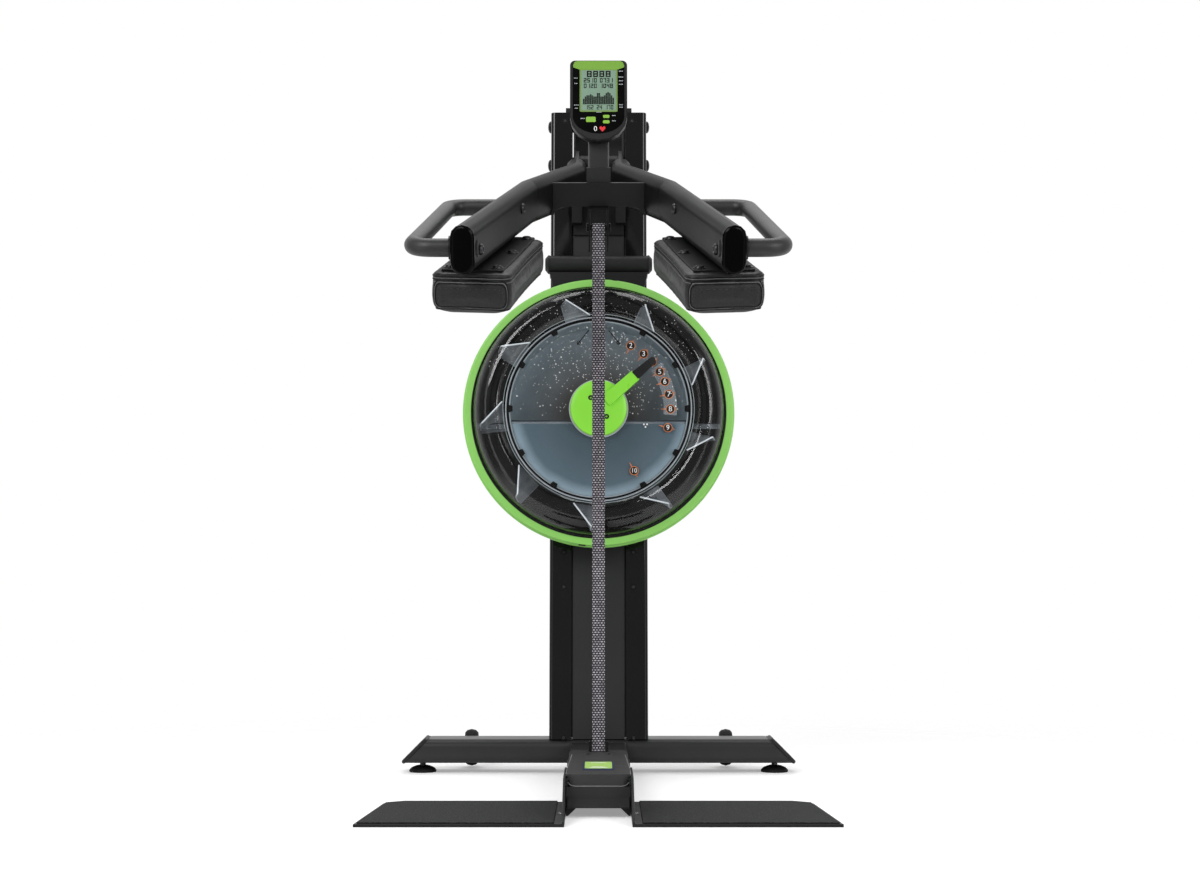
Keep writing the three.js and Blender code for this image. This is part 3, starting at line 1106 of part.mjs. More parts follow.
// Lever: yoke on the pivot, two bent arms, cross plate, clevis, caps, handles and pads.
function lever() {
  const sleeveHalf = COLUMN_WIDTH / 2 - COLUMN_WALL - GAP;
  const bushOuter = PIVOT_AXLE_RADIUS + GAP + BUSH_WALL;
  const sleeveR = bushOuter + SLEEVE_WALL;
  const bushHole = bore(bushOuter, FINE);
  const sleeve = ring("x", bushHole, sleeveR, -sleeveHalf, sleeveHalf, FINE);
  const rootEdge = -ARM_ROOT_Y + GAP;
  const plateHalf = YOKE_PLATE / 2;
  const hubBack = [];
  for (let i = 0; i <= 10; i += 1) {
    const angle = -Math.PI / 2 + (Math.PI * i) / 10;
    hubBack.push([YOKE_HUB_RADIUS * Math.cos(angle), YOKE_HUB_RADIUS * Math.sin(angle)]);
  }
  const plate = prism("x", [[rootEdge, -YOKE_HUB_RADIUS], ...hubBack, [rootEdge, YOKE_HUB_RADIUS]],
    ARM_ROOT_X - plateHalf, Math.min(ARM_ROOT_X + plateHalf, sleeveHalf));
  const hole = rod("x", bushHole, -sleeveHalf - 1, sleeveHalf + 1, 0, 0, FINE);
  add(leverGroup, "pivot_yoke", union([plate, mirrored(plate)]).subtract(hole).add(sleeve), "frame");
  const bush = ring("x", bore(PIVOT_AXLE_RADIUS, FINE), bushOuter, -sleeveHalf, sleeveHalf, FINE);
  add(leverGroup, "pivot_bush", bush, "steel");

  const arm = armSolid(0).intersect(armDome()).subtract(armSolid(-ARM_WALL, ARM_ROOT_DOME + ARM_WALL, 10));
  addPair(leverGroup, "lever_arm", arm, "frame");

  const armSpace = union([armSolid(GAP), mirrored(armSolid(GAP))]);
  const outlineHalf = ARM_SECOND_BEND_X;
  const plateY = -CROSS_PLATE_Y;
  const haunchEnd = 82;
  const haunchStart = haunchEnd - CROSS_PLATE_HAUNCH_LENGTH;
  const low = -CROSS_PLATE_BOTTOM;
  const cross = new THREE.Shape();
  cross.moveTo(-outlineHalf, CROSS_PLATE_TOP);
  cross.lineTo(-outlineHalf, low - CROSS_PLATE_HAUNCH);
  cross.lineTo(-haunchEnd, low - CROSS_PLATE_HAUNCH);
  cross.quadraticCurveTo(-haunchEnd + 4, low, -haunchStart, low);
  cross.lineTo(haunchStart, low);
  cross.quadraticCurveTo(haunchEnd - 4, low, haunchEnd, low - CROSS_PLATE_HAUNCH);
  cross.lineTo(outlineHalf, low - CROSS_PLATE_HAUNCH);
  cross.lineTo(outlineHalf, CROSS_PLATE_TOP);
  const halfPlate = CROSS_PLATE_THICKNESS / 2;
  const crossBody = prism("y", cross, plateY - halfPlate, plateY + halfPlate)
    .subtract(armSpace)
    .decompose()
    .sort((a, b) => b.volume() - a.volume())[0];
  add(leverGroup, "lever_cross_plate", crossBody, "frame");

  const webTop = low - GAP;
  const inner = CLEVIS_INNER_HALF;
  const outer = inner + CLEVIS_THICKNESS;
  const topY = plateY - CLEVIS_RADIUS / 2;
  const webBack = topY + CLEVIS_RADIUS;
  const webFront = topY - CLEVIS_RADIUS - 4;
  const side = CLEVIS_RADIUS * 0.9;
  const strip = (x0, x1) => union([
    prism("x", [
      [webBack, webTop], [webFront, webTop],
      [-CLEVIS_END_Y - side, -CLEVIS_END_Z + 5], [-CLEVIS_END_Y + side, -CLEVIS_END_Z - 5],
    ], x0, x1),
    rod("x", CLEVIS_RADIUS, x0, x1, -CLEVIS_END_Y, -CLEVIS_END_Z, COARSE),
  ]);
  const web = block(-outer, outer, webFront, webBack, webTop - CLEVIS_THICKNESS, webTop);
  const pinHole = rod("x", bore(PIN_RADIUS), -outer - 1, outer + 1, -PIN_Y, -PIN_Z);
  const clevis = union([strip(inner, outer), strip(-outer, -inner), web]).subtract(pinHole);
  add(leverGroup, "strap_clevis", clevis, "frame");
  const headStart = outer + GAP;
  const pin = union([
    rod("x", PIN_RADIUS, -headStart - 1, headStart + 1, -PIN_Y, -PIN_Z, COARSE),
    rod("x", PIN_HEAD_RADIUS, headStart, headStart + PIN_HEAD, -PIN_Y, -PIN_Z, 12),
    rod("x", PIN_HEAD_RADIUS, -headStart - PIN_HEAD, -headStart, -PIN_Y, -PIN_Z, 12),
  ]);
  add(leverGroup, "strap_pin", pin, "steel");

  const end = armPath(0, 0);
  const along = end.at(-1).clone().sub(end.at(-2)).normalize();
  const capRing = (distance, shrink) => {
    const radius = ARM_WIDTH / 2 - shrink;
    const centre = end.at(-1).clone().addScaledVector(along, distance);
    const across = new THREE.Vector3(0, 0, 1).cross(along);
    return roundRect(radius, ARM_HEIGHT / 2 - shrink, radius - 0.01, 3).map(([a, b]) => (
      centre.clone().addScaledVector(across, a).add(new THREE.Vector3(0, 0, b))
    ));
  };
  const plug = ARM_WALL + GAP;
  const cap = loft([
    capRing(-ARM_PLUG, plug), capRing(GAP, plug), capRing(GAP + 0.01, -0.5), capRing(3, -0.5),
    capRing(ARM_CAP_DOME, 1.5), capRing(ARM_CAP_DOME + 2.5, 6),
  ]);
  addPair(leverGroup, "arm_cap", cap, "gloss");

  const handleCorners = [
    [ARM_END_X - 40, -HANDLE_FRONT_Y], [HANDLE_FRONT_X, -HANDLE_FRONT_Y],
    [HANDLE_REAR_X, -HANDLE_REAR_Y], [ARM_SECOND_BEND_X, -HANDLE_REAR_Y],
  ].map(([x, y]) => new THREE.Vector3(x, y, 0));
  const handleLine = rounded(handleCorners, HANDLE_BEND, 6);
  const handle = sweep(handleLine, circle(HANDLE_RADIUS, 12), new THREE.Vector3(0, 0, 1))
    .subtract(armSolid(GAP, 0, 30))
    .decompose()
    .sort((a, b) => b.volume() - a.volume())[0];
  addPair(leverGroup, "looped_handle", handle, "rubber");

  const padPlace = shift(PAD_CENTRE_X, -PAD_CENTRE_Y, -ARM_HEIGHT / 2 - GAP)
    .multiply(new THREE.Matrix4().makeRotationZ(PAD_SPLAY));
  const plateW = PAD_WIDTH / 2 - PAD_PLATE_MARGIN;
  const plateL = PAD_LENGTH / 2 - PAD_PLATE_MARGIN;
  const padPlate = prism("z", roundRect(plateW, plateL, 6, 2), -PAD_PLATE_THICKNESS, 0);
  addPair(leverGroup, "pad_plate", moved(padPlate, padPlace), "frame");
  const cushion = moved(padCushion(), shift(0, 0, -PAD_PLATE_THICKNESS - GAP));
  addPair(leverGroup, "shoulder_pad", moved(cushion, padPlace), "vinyl");
}

// Shoulder pad: drawn-in sides, a sewn channel under the top edge and a crowned lower face.
function padCushion() {
  const cornerSteps = 5;
  const sideCuts = [3, 6, 3, 6];
  const ringAt = (inset, z, drawIn = PAD_DRAW_IN) => {
    const halfW = PAD_WIDTH / 2 - inset;
    const halfL = PAD_LENGTH / 2 - inset;
    const corner = Math.max(PAD_CORNER - inset * 0.6, 6);
    const outline = roundRect(halfW, halfL, corner, cornerSteps);
    return outline.flatMap(([u, v], i) => {
      const [nextU, nextV] = outline[(i + 1) % outline.length];
      const quadrant = Math.floor(i / (cornerSteps + 1));
      const cuts = i % (cornerSteps + 1) === cornerSteps ? sideCuts[quadrant] : 1;
      return Array.from({ length: cuts }, (_, k) => {
        const [x, y] = [u + ((nextU - u) * k) / cuts, v + ((nextV - v) * k) / cuts];
        const pullX = drawIn * Math.cos((Math.PI * y) / PAD_LENGTH) * (Math.abs(x) / halfW) ** 4;
        const pullY = drawIn * Math.cos((Math.PI * x) / PAD_WIDTH) * (Math.abs(y) / halfL) ** 4;
        return new THREE.Vector3(x - Math.sign(x) * pullX, y - Math.sign(y) * pullY, z);
      });
    });
  };
  const face = -PAD_THICKNESS + PAD_CROWN;
  return loft([
    ringAt(4, 0), ringAt(0.5, -2.5), ringAt(0, -PAD_SEAM_DROP + 2), ringAt(PAD_SEAM_DEPTH, -PAD_SEAM_DROP),
    ringAt(0, -PAD_SEAM_DROP - 2.5), ringAt(-1, -PAD_THICKNESS * 0.55), ringAt(0, face + 9),
    ringAt(3, face + 3.5), ringAt(9, face), ringAt(26, face - PAD_CROWN * 0.6, 0),
    ringAt(48, face - PAD_CROWN * 0.92, 0),
  ]);
}

// Console outline, as wide as the housing less an inset, with a rounded chin.
function consoleShape(inset) {
  const half = CONSOLE_WIDTH / 2 - inset;
  const corner = CONSOLE_CORNER - inset;
  const top = CONSOLE_SHOULDER - inset;
  const outline = new THREE.Shape();
  outline.moveTo(half, 0);
  outline.lineTo(half, top - corner);
  outline.absarc(half - corner, top - corner, corner, 0, Math.PI / 2);
  outline.lineTo(-half + corner, top);
  outline.absarc(-half + corner, top - corner, corner, Math.PI / 2, Math.PI);
  outline.lineTo(-half, 0);
  outline.absellipse(0, 0, half, CONSOLE_CHIN - inset, Math.PI, 2 * Math.PI);
  return outline;
}

// Mast behind the cross plate, and the console with its face, screen and keys.
function consoleUnit() {
  const upright = new THREE.Matrix4().makeRotationX(-LEVER_DROOP - CONSOLE_TILT);
  const plateBack = -CROSS_PLATE_Y + CROSS_PLATE_THICKNESS / 2 + GAP;
  const footHalf = MAST_FOOT_WIDTH / 2;
  const footTop = CROSS_PLATE_TOP + 26;
  const footBack = plateBack + MAST_FOOT_THICKNESS;
  const foot = block(-footHalf, footHalf, plateBack, footBack, 2 - CROSS_PLATE_BOTTOM, footTop);
  const mastHalf = MAST_WIDTH / 2;
  const post = prism("z", roundRect(mastHalf, MAST_DEPTH / 2, 4, 2), 0, MAST_HEIGHT);
  const postBase = new THREE.Vector3(0, footBack + MAST_DEPTH / 2 - 2, CROSS_PLATE_TOP - 18);
  const place = shift(postBase.x, postBase.y, postBase.z).multiply(upright);
  const crossSpace = block(
    -CUTTER, CUTTER, -CROSS_PLATE_Y - CROSS_PLATE_THICKNESS, plateBack, -CUTTER, CROSS_PLATE_TOP + GAP,
  );
  const mast = union([foot, moved(post, place)]).subtract(crossSpace);
  add(leverGroup, "console_mast", mast, "frame");

  const tilt = place.clone().multiply(shift(
    0, -MAST_DEPTH / 2 - GAP, CONSOLE_RISE - CONSOLE_SHOULDER,
  ));
  const housingShape = (inset, from, to) => moved(prism("y", consoleShape(inset), from, to), tilt);
  const front = -CONSOLE_DEPTH;
  const screenTop = CONSOLE_SHOULDER - SCREEN_DROP;
  const screenBlock = (grow, from, to) => moved(block(
    -SCREEN_WIDTH / 2 - grow, SCREEN_WIDTH / 2 + grow, from, to,
    screenTop - SCREEN_HEIGHT - grow, screenTop + grow,
  ), tilt);
  const keyBlock = (key, grow, from, to) => moved(prism("y", roundRect(
    key.width / 2 + grow, key.height / 2 + grow, 2, 2, key.x, CONSOLE_SHOULDER - key.drop,
  ), from, to), tilt);
  const keyBack = front + KEY_DEPTH;
  const keyWells = union(KEYS.map((key) => keyBlock(key, GAP, front - 2, keyBack + KEY_TRAVEL + GAP)));
  const housing = union([
    housingShape(FACE_CHAMFER, front, front + 2 * FACE_CHAMFER), housingShape(0, front + FACE_CHAMFER, -4),
    housingShape(4, -5, 0),
  ]).subtract(screenBlock(GAP, front - 1, front + SCREEN_THICKNESS + GAP)).subtract(keyWells);
  add(leverGroup, "console_housing", housing, "plastic");
  add(leverGroup, "console_screen", screenBlock(0, front + 0.2, front + SCREEN_THICKNESS), "screen");
  KEYS.forEach((key) => {
    const cap = keyBlock(key, 0, front - KEY_PROUD, keyBack);
    add(leverGroup, key.name, cap, "green");
  });
}

crossbar();
base();
column();
restBar();
tank();
impeller();
selector();
drive();
lever();
consoleUnit();

// The origin is on the floor, under the middle of the machine's box.
const extent = new THREE.Box3().setFromObject(machine, true);
machine.position.x = -(extent.min.x + extent.max.x) / 2;
machine.position.y = -(extent.min.y + extent.max.y) / 2;

const trainer = new THREE.Group();
trainer.add(machine);

export default trainer;
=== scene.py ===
import json
import math
import random
import bpy
import bmesh
from mathutils import Matrix, Vector
from mathutils.bvhtree import BVHTree


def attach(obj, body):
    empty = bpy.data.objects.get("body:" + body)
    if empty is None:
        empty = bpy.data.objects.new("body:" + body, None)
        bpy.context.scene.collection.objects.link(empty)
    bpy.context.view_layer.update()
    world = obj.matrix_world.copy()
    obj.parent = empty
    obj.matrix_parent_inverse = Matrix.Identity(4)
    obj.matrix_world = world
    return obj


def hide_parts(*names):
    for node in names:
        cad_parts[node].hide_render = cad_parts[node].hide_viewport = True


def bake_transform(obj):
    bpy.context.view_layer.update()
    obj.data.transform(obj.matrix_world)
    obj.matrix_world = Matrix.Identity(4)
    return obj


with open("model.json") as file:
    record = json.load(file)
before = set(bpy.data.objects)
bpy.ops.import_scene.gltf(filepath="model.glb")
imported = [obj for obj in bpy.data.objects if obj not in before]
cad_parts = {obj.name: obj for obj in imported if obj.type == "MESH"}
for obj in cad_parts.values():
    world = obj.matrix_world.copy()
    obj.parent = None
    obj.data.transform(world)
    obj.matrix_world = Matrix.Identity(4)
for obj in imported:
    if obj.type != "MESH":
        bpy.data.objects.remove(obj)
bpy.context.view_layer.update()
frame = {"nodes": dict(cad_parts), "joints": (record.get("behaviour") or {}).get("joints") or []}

MM = 0.001
scene = bpy.context.scene
nodes = frame["nodes"]


# Places
def shift(x, y, z):
    return Matrix.Translation((x, y, z))


def turn(degrees, axis):
    return Matrix.Rotation(math.radians(degrees), 4, axis)


LEAN = 5
DROOP = 18.36
PIVOT_HEIGHT = 1207.6
TANK_HEIGHT = 684
MAST_FOOT = (0, -411.7, 7)
CONSOLE_TILT = 4
CONSOLE_SEAT = (0, -7.3, 131)
PAD_SEAT = (179, -795, -39.3)
PAD_SPLAY = 7.4
STRAP_PIN = (0, -444.6, -53.7)
pivot = Vector(next(joint["pos_m"] for joint in frame["joints"] if joint["name"] == "arm_pivot")) / MM
MACHINE = shift(0, pivot.y - PIVOT_HEIGHT * math.sin(math.radians(LEAN)), 0)
COLUMN = MACHINE @ turn(-LEAN, "X")
TANK = COLUMN @ shift(0, 0, TANK_HEIGHT)
LEVER = Matrix.Translation(pivot) @ turn(DROOP, "X")
CONSOLE = LEVER @ shift(*MAST_FOOT) @ turn(-DROOP - CONSOLE_TILT, "X") @ shift(*CONSOLE_SEAT)
PAD = LEVER @ shift(*PAD_SEAT) @ turn(PAD_SPLAY, "Z")
SIDES = {"right": Matrix.Identity(4), "left": Matrix.Scale(-1, 4, (1, 0, 0))}


# Colours and nodes
WHITE = (1, 1, 1, 1)
DULL = {"Specular IOR Level": 0.25}
FLAT = {"Specular IOR Level": 0.1}
GRAIN_DEPTH = 0.2


def srgb(red, green, blue):
    def channel(value):
        value /= 255
        return value / 12.92 if value <= 0.04045 else ((value + 0.055) / 1.055) ** 2.4
    return (channel(red), channel(green), channel(blue), 1.0)


def scaled(colour, factor):
    return tuple(min(1.0, c * factor) for c in colour[:3]) + (1.0,)


def node(tree, kind, inputs=None, **settings):
    """A node whose inputs are set, or linked where the value is another node's socket."""
    made = tree.nodes.new(kind)
    for key, value in settings.items():
        setattr(made, key, value)
    for key, value in (inputs or {}).items():
        if isinstance(value, bpy.types.NodeSocket):
            tree.links.new(value, made.inputs[key])
        else:
            made.inputs[key].default_value = value
    return made


def new_material(name):
    """A material, its empty node tree, and the place on the object to texture it by."""
    material = bpy.data.materials.new(name)
    material.use_nodes = True
    tree = material.node_tree
    tree.nodes.clear()
    return material, tree, node(tree, "ShaderNodeTexCoord").outputs["Object"]


def finished(material, kind, inputs):
    """The material with its one surface shader."""
    tree = material.node_tree
    node(tree, "ShaderNodeOutputMaterial", {"Surface": node(tree, kind, inputs).outputs[0]})
    return material


def noise(tree, place, size, detail=3.0, roughness=0.55):
    """Noise whose features are about size millimetres."""
    return node(tree, "ShaderNodeTexNoise", {
        "Vector": place, "Scale": 1 / (size * MM), "Detail": detail, "Roughness": roughness,
    }).outputs["Fac"]


def between(tree, factor, low, high):
    """A colour between low and high."""
    return node(tree, "ShaderNodeMix", {0: factor, 6: low, 7: high}, data_type="RGBA").outputs[2]


def multiplied(tree, one, other):
    return node(tree, "ShaderNodeMix", {0: 1.0, 6: one, 7: other}, data_type="RGBA",
                blend_type="MULTIPLY").outputs[2]


def mixed(tree, factor, low, high):
    """A number between low and high."""
    return node(tree, "ShaderNodeMix", {0: factor, 2: low, 3: high}, data_type="FLOAT").outputs[0]


def maths(tree, operation, one, other=0.0):
    return node(tree, "ShaderNodeMath", {0: one, 1: other}, operation=operation).outputs[0]


def span(tree, value, low, high, start=0.3, end=0.7):
    """A number from low to high as value goes from start to end."""
    return node(tree, "ShaderNodeMapRange", {
        "Value": value, "From Min": start, "From Max": end, "To Min": low, "To Max": high,
    }).outputs[0]


def relief(tree, height, strength, depth, under=None, invert=False):
    """A normal bent by a height of depth millimetres, over another relief."""
    inputs = {"Height": height, "Strength": strength, "Distance": depth * MM}
    if under is not None:
        inputs["Normal"] = under
    return node(tree, "ShaderNodeBump", inputs, invert=invert).outputs[0]


# Materials
def surface(name, rgb, rough, patch, spread, grain, bump, rough_spread=0.02, **fixed):
    """A finished material: the colour drifts in patches, the roughness too, and a fine grain lifts it."""
    material, tree, place = new_material(name)
    colour = srgb(*rgb)
    tint = between(tree, noise(tree, place, patch), scaled(colour, 1 - spread), scaled(colour, 1 + spread))
    roughness = span(tree, noise(tree, place, patch * 0.8), rough - rough_spread, rough + rough_spread)
    return finished(material, "ShaderNodeBsdfPrincipled", {
        "Base Color": tint, "Roughness": roughness, **fixed,
        "Normal": relief(tree, noise(tree, place, grain, 2.0), bump, GRAIN_DEPTH),
    })


def see_through(name, tint, film, mirror, rough, film_colour=(0.8, 0.85, 0.88, 1), graze=0.4):
    """Clear plastic: light goes straight through, a faint film shows, and it mirrors most at low angles."""
    material, tree, place = new_material(name)
    cloud = noise(tree, place, 45)
    clear = node(tree, "ShaderNodeBsdfTransparent", {"Color": between(tree, cloud, scaled(tint, 0.97), tint)})
    dusty = node(tree, "ShaderNodeBsdfPrincipled", {"Base Color": film_colour, "Roughness": 0.35})
    coated = node(tree, "ShaderNodeMixShader", {
        0: span(tree, cloud, film * 0.6, film * 1.4), 1: clear.outputs[0], 2: dusty.outputs[0],
    })
    gloss = node(tree, "ShaderNodeBsdfPrincipled", {"Base Color": WHITE, "Metallic": 1.0, "Roughness": rough})
    facing = node(tree, "ShaderNodeLayerWeight", {"Blend": 0.5}).outputs["Facing"]
    edge = span(tree, maths(tree, "POWER", facing, 4.0), mirror, graze, 0, 1)
    return finished(material, "ShaderNodeMixShader", {0: edge, 1: coated.outputs[0], 2: gloss.outputs[0]})


def vinyl(name, rgb):
    """Grained vinyl: small cells with creases between them, and a soft sheen."""
    material, tree, place = new_material(name)
    colour = srgb(*rgb)
    cells = node(tree, "ShaderNodeTexVoronoi", {"Vector": place, "Scale": 1 / (1.9 * MM)}).outputs["Distance"]
    cloud = noise(tree, place, 70)
    tint = between(tree, cloud, scaled(colour, 0.82), scaled(colour, 1.18))
    wrinkle = relief(tree, noise(tree, place, 24), 0.25, 1.2)
    grain = relief(tree, cells, 0.35, 0.25, wrinkle, True)
    return finished(material, "ShaderNodeBsdfPrincipled", {
        "Base Color": between(tree, span(tree, cells, 0, 1, 0.25, 0.75), tint, scaled(colour, 0.62)),
        "Roughness": span(tree, cloud, 0.4, 0.52), "Specular IOR Level": 0.35,
        "Normal": relief(tree, noise(tree, place, 0.8, 2.0), 0.15, 0.1, grain),
    })


def webbing(name):
    """Woven strap: offset rows of pale yarn on a dark ground."""
    material, tree, place = new_material(name)
    parts = node(tree, "ShaderNodeSeparateXYZ", {0: place}).outputs
    weave = node(tree, "ShaderNodeTexBrick", {
        "Vector": node(tree, "ShaderNodeCombineXYZ", {0: parts[0], 1: parts[2]}).outputs[0],
        "Color1": srgb(204, 198, 206), "Color2": srgb(144, 140, 148), "Mortar": srgb(28, 26, 30),
        "Scale": 1 / MM, "Mortar Size": 1.15, "Mortar Smooth": 0.3, "Bias": 0.0,
        "Brick Width": 5.6, "Row Height": 4.2,
    }, offset=0.5, squash=1.0).outputs
    cloud = noise(tree, place, 30)
    rows = relief(tree, weave["Fac"], 0.7, 0.4, None, True)
    return finished(material, "ShaderNodeBsdfPrincipled", {
        "Base Color": multiplied(tree, weave[0], between(tree, cloud, (0.62, 0.62, 0.64, 1), WHITE)),
        "Roughness": span(tree, cloud, 0.6, 0.8), "Sheen Weight": 0.15,
        "Normal": relief(tree, noise(tree, place, 0.5, 2.0), 0.3, 0.15, rows),
    })


def speckled(name):
    """Anti-slip mat: pale grit in dark rubber."""
    material, tree, place = new_material(name)
    grit = noise(tree, place, 2.6, 4.0, 0.7)
    tint = between(tree, span(tree, grit, 0, 1, 0.44, 0.68), srgb(17, 17, 18), srgb(76, 76, 77))
    wear_and_edge_highlight = between(tree, noise(tree, place, 80), (0.8, 0.8, 0.8, 1), WHITE)
    return finished(material, "ShaderNodeBsdfPrincipled", {
        "Base Color": multiplied(tree, tint, wear_and_edge_highlight), "Roughness": span(tree, grit, 0.7, 0.9),
        "Normal": relief(tree, grit, 0.8, 0.9), **DULL,
    })


def radial_painted_light(name, radius, colours, rough, patch, spread):
    """A surface whose colour runs from the tank's middle outwards, seen through its window; the run is
    painted light and shade.
    """
    material, tree, place = new_material(name)
    middle = TANK @ Vector((0, -120, 0)) * MM
    away = node(tree, "ShaderNodeVectorMath", {0: place, 1: middle}, operation="SUBTRACT").outputs[0]
    reach = node(tree, "ShaderNodeVectorMath", {0: away}, operation="LENGTH").outputs["Value"]
    cloud = noise(tree, place, patch)
    bent = maths(tree, "ADD", span(tree, cloud, -0.025, 0.025), span(tree, reach, 0, 1, 0, radius * MM))
    ramp = node(tree, "ShaderNodeValToRGB", {0: bent})
    stops = ramp.color_ramp.elements
    while len(stops) < len(colours):
        stops.new(0.5)
    for stop, (position, rgb) in zip(stops, colours):
        stop.position, stop.color = position, srgb(*rgb)
    mottled = between(tree, noise(tree, place, patch / 6), scaled(WHITE, 1 - spread), WHITE)
    return finished(material, "ShaderNodeBsdfPrincipled", {
        "Base Color": multiplied(tree, ramp.outputs[0], mottled), **DULL,
        "Roughness": span(tree, cloud, rough - 0.05, rough + 0.05),
    })


# After the colour: roughness, size of its patches and their spread, size of the grain and its strength
look = {
    "steel": surface("satin_black_steel", (31, 31, 32), 0.38, 120, 0.2, 0.9, 0.16, **DULL),
    "tube": surface("satin_black_tube", (45, 45, 46), 0.36, 120, 0.14, 0.9, 0.14, **DULL),
    "gloss": surface("gloss_black_panel", (17, 17, 18), 0.1, 90, 0.25, 6, 0.02, 0.04),
    "cap": surface("gloss_black_cap", (3, 3, 3), 0.2, 30, 0.3, 4, 0.02, 0.04, **FLAT),
    "face": surface("console_face", (3, 3, 3), 0.3, 30, 0.3, 3, 0.02, 0.04, **FLAT),
    "plastic": surface("moulded_black", (34, 34, 35), 0.5, 80, 0.14, 0.5, 0.35, **DULL),
    "cover": surface("moulded_cover", (56, 56, 56), 0.5, 40, 0.14, 0.6, 0.45, **DULL),
    "dark": surface("dark_plastic", (12, 11, 11), 0.4, 60, 0.25, 1.2, 0.1, **DULL),
    "rubber": surface("black_rubber", (22, 22, 23), 0.66, 50, 0.2, 0.8, 0.4, **DULL),
    "arm": surface("satin_black_arm", (24, 24, 25), 0.4, 160, 0.12, 0.9, 0.12, **FLAT),
    "grip": surface("handle_grip", (46, 46, 47), 0.42, 70, 0.14, 0.5, 0.25),
    "mat": speckled("speckled_mat"),
    "rim": surface("green_rim", (138, 203, 98), 0.34, 140, 0.06, 0.7, 0.06, 0.04),
    "hub": surface("green_hub", (140, 226, 66), 0.3, 90, 0.08, 0.7, 0.04, 0.04),
    "key": surface("green_key", (134, 184, 62), 0.35, 12, 0.08, 0.4, 0.1),
    "band": surface("green_band", (116, 164, 56), 0.35, 30, 0.08, 0.6, 0.05),
    "bolt": surface("dark_bolt", (70, 70, 72), 0.34, 20, 0.2, 0.4, 0.12, Metallic=0.9),
    "zinc": surface("zinc_steel", (150, 150, 152), 0.3, 20, 0.15, 0.3, 0.12, Metallic=1.0),
    # Pale grey: printed dashes, and painted highlights on the window and hub rings.
    "pale": surface("pale_edge", (178, 184, 188), 0.22, 30, 0.25, 1.0, 0.1),
    # Pale grey tube round the cover's front edge: a painted edge highlight.
    "wear_and_edge_highlight": surface("painted_edge_highlight", (136, 136, 136), 0.4, 8, 0.4, 0.6, 0.1),
    # Near-white: painted glints on the clear vanes' edges.
    "painted_vane_glint": surface("painted_edge_glint", (242, 246, 250), 0.2, 30, 0.06, 1.0, 0.05),
    "label": surface("green_label", (178, 220, 110), 0.5, 6, 0.25, 0.3, 0.05),
    "white": surface("white_print", (236, 236, 234), 0.5, 10, 0.04, 0.3, 0.05),
    "orange": surface("orange_print", (224, 130, 66), 0.5, 10, 0.1, 0.3, 0.05),
    "ink": surface("black_print", (14, 14, 15), 0.4, 10, 0.2, 0.3, 0.05),
    "red": surface("red_print", (222, 40, 48), 0.45, 10, 0.08, 0.3, 0.05),
    "navy": surface("navy_border", (30, 36, 84), 0.45, 12, 0.1, 0.4, 0.05),
    "olive": surface("screen_frame", (110, 140, 66), 0.4, 20, 0.1, 0.4, 0.08),
    "screen": surface("grey_green_screen", (124, 150, 131), 0.3, 26, 0.06, 0.8, 0.03, 0.04, **DULL),
    "segment": surface("screen_ink", (4, 6, 6), 0.5, 8, 0.15, 0.3, 0.05, **DULL),
    "vinyl": vinyl("grained_vinyl", (46, 46, 47)),
    "piping": surface("pad_piping", (10, 10, 10), 0.4, 20, 0.15, 0.6, 0.2, **DULL),
    # Pale thin tubes beside the dark piping: painted highlights.
    "piping_highlight": surface("pad_painted_highlight", (100, 100, 102), 0.4, 12, 0.3, 0.6, 0.2),
    "thread": surface("pad_thread", (58, 58, 60), 0.7, 6, 0.2, 0.3, 0.3),
    "strap": webbing("woven_strap"),
    "deep": surface("deep_shell", (17, 14, 13), 0.4, 150, 0.35, 3.0, 0.01, **FLAT),
    "meniscus": surface("water_edge", (38, 46, 52), 0.3, 30, 0.2, 1.0, 0.05),
    "shell": see_through("clear_shell", (0.96, 0.97, 0.98, 1), 0.003, 0.05, 0.07),
    "liner": see_through("clear_liner", (0.97, 0.98, 0.99, 1), 0.003, 0.002, 0.15, graze=0.04),
    "blade": see_through("clear_blade", (0.82, 0.85, 0.87, 1), 0.45, 0.04, 0.12, (0.62, 0.66, 0.69, 1)),
    "faint": see_through("faint_label", (0.95, 0.96, 0.96, 1), 0.14, 0.03, 0.3, (0.6, 0.64, 0.68, 1)),
    "drop": see_through("water_drop", WHITE, 0.7, 0.08, 0.05, WHITE),
    "haze": see_through("water_band", (0.72, 0.76, 0.78, 1), 0.3, 0.04, 0.2, (0.42, 0.46, 0.48, 1)),
    # Chamber back: painted shade, dark brown round the middle behind the hub, and painted light, paler
    # towards the rim.
    "back": radial_painted_light("chamber_back", 190, [
        (0.0, (62, 54, 48)), (0.36, (74, 69, 66)), (0.62, (112, 119, 122)), (0.95, (168, 183, 190)),
    ], 0.4, 90, 0.2),
    # Water: painted light, with a paler ring near its rim.
    "water": radial_painted_light("tank_water", 180, [
        (0.0, (68, 82, 90)), (0.5, (80, 96, 105)), (0.84, (96, 114, 124)), (0.93, (150, 170, 180)),
    ], 0.2, 120, 0.1),
}


# Shapes, each a pair of vertices and faces
def loft(rings, closed=False):
    """A skin over rings of points, capped at both ends unless it closes on itself."""
    count = len(rings[0])
    verts = [tuple(v) for ring in rings for v in ring]
    faces = []
    for i in range(len(rings) if closed else len(rings) - 1):
        a, b = i * count, (i + 1) % len(rings) * count
        faces += [(a + k, a + (k + 1) % count, b + (k + 1) % count, b + k) for k in range(count)]
    if not closed:
        last = (len(rings) - 1) * count
        faces += [tuple(range(count))[::-1], tuple(last + k for k in range(count))]
    return verts, faces


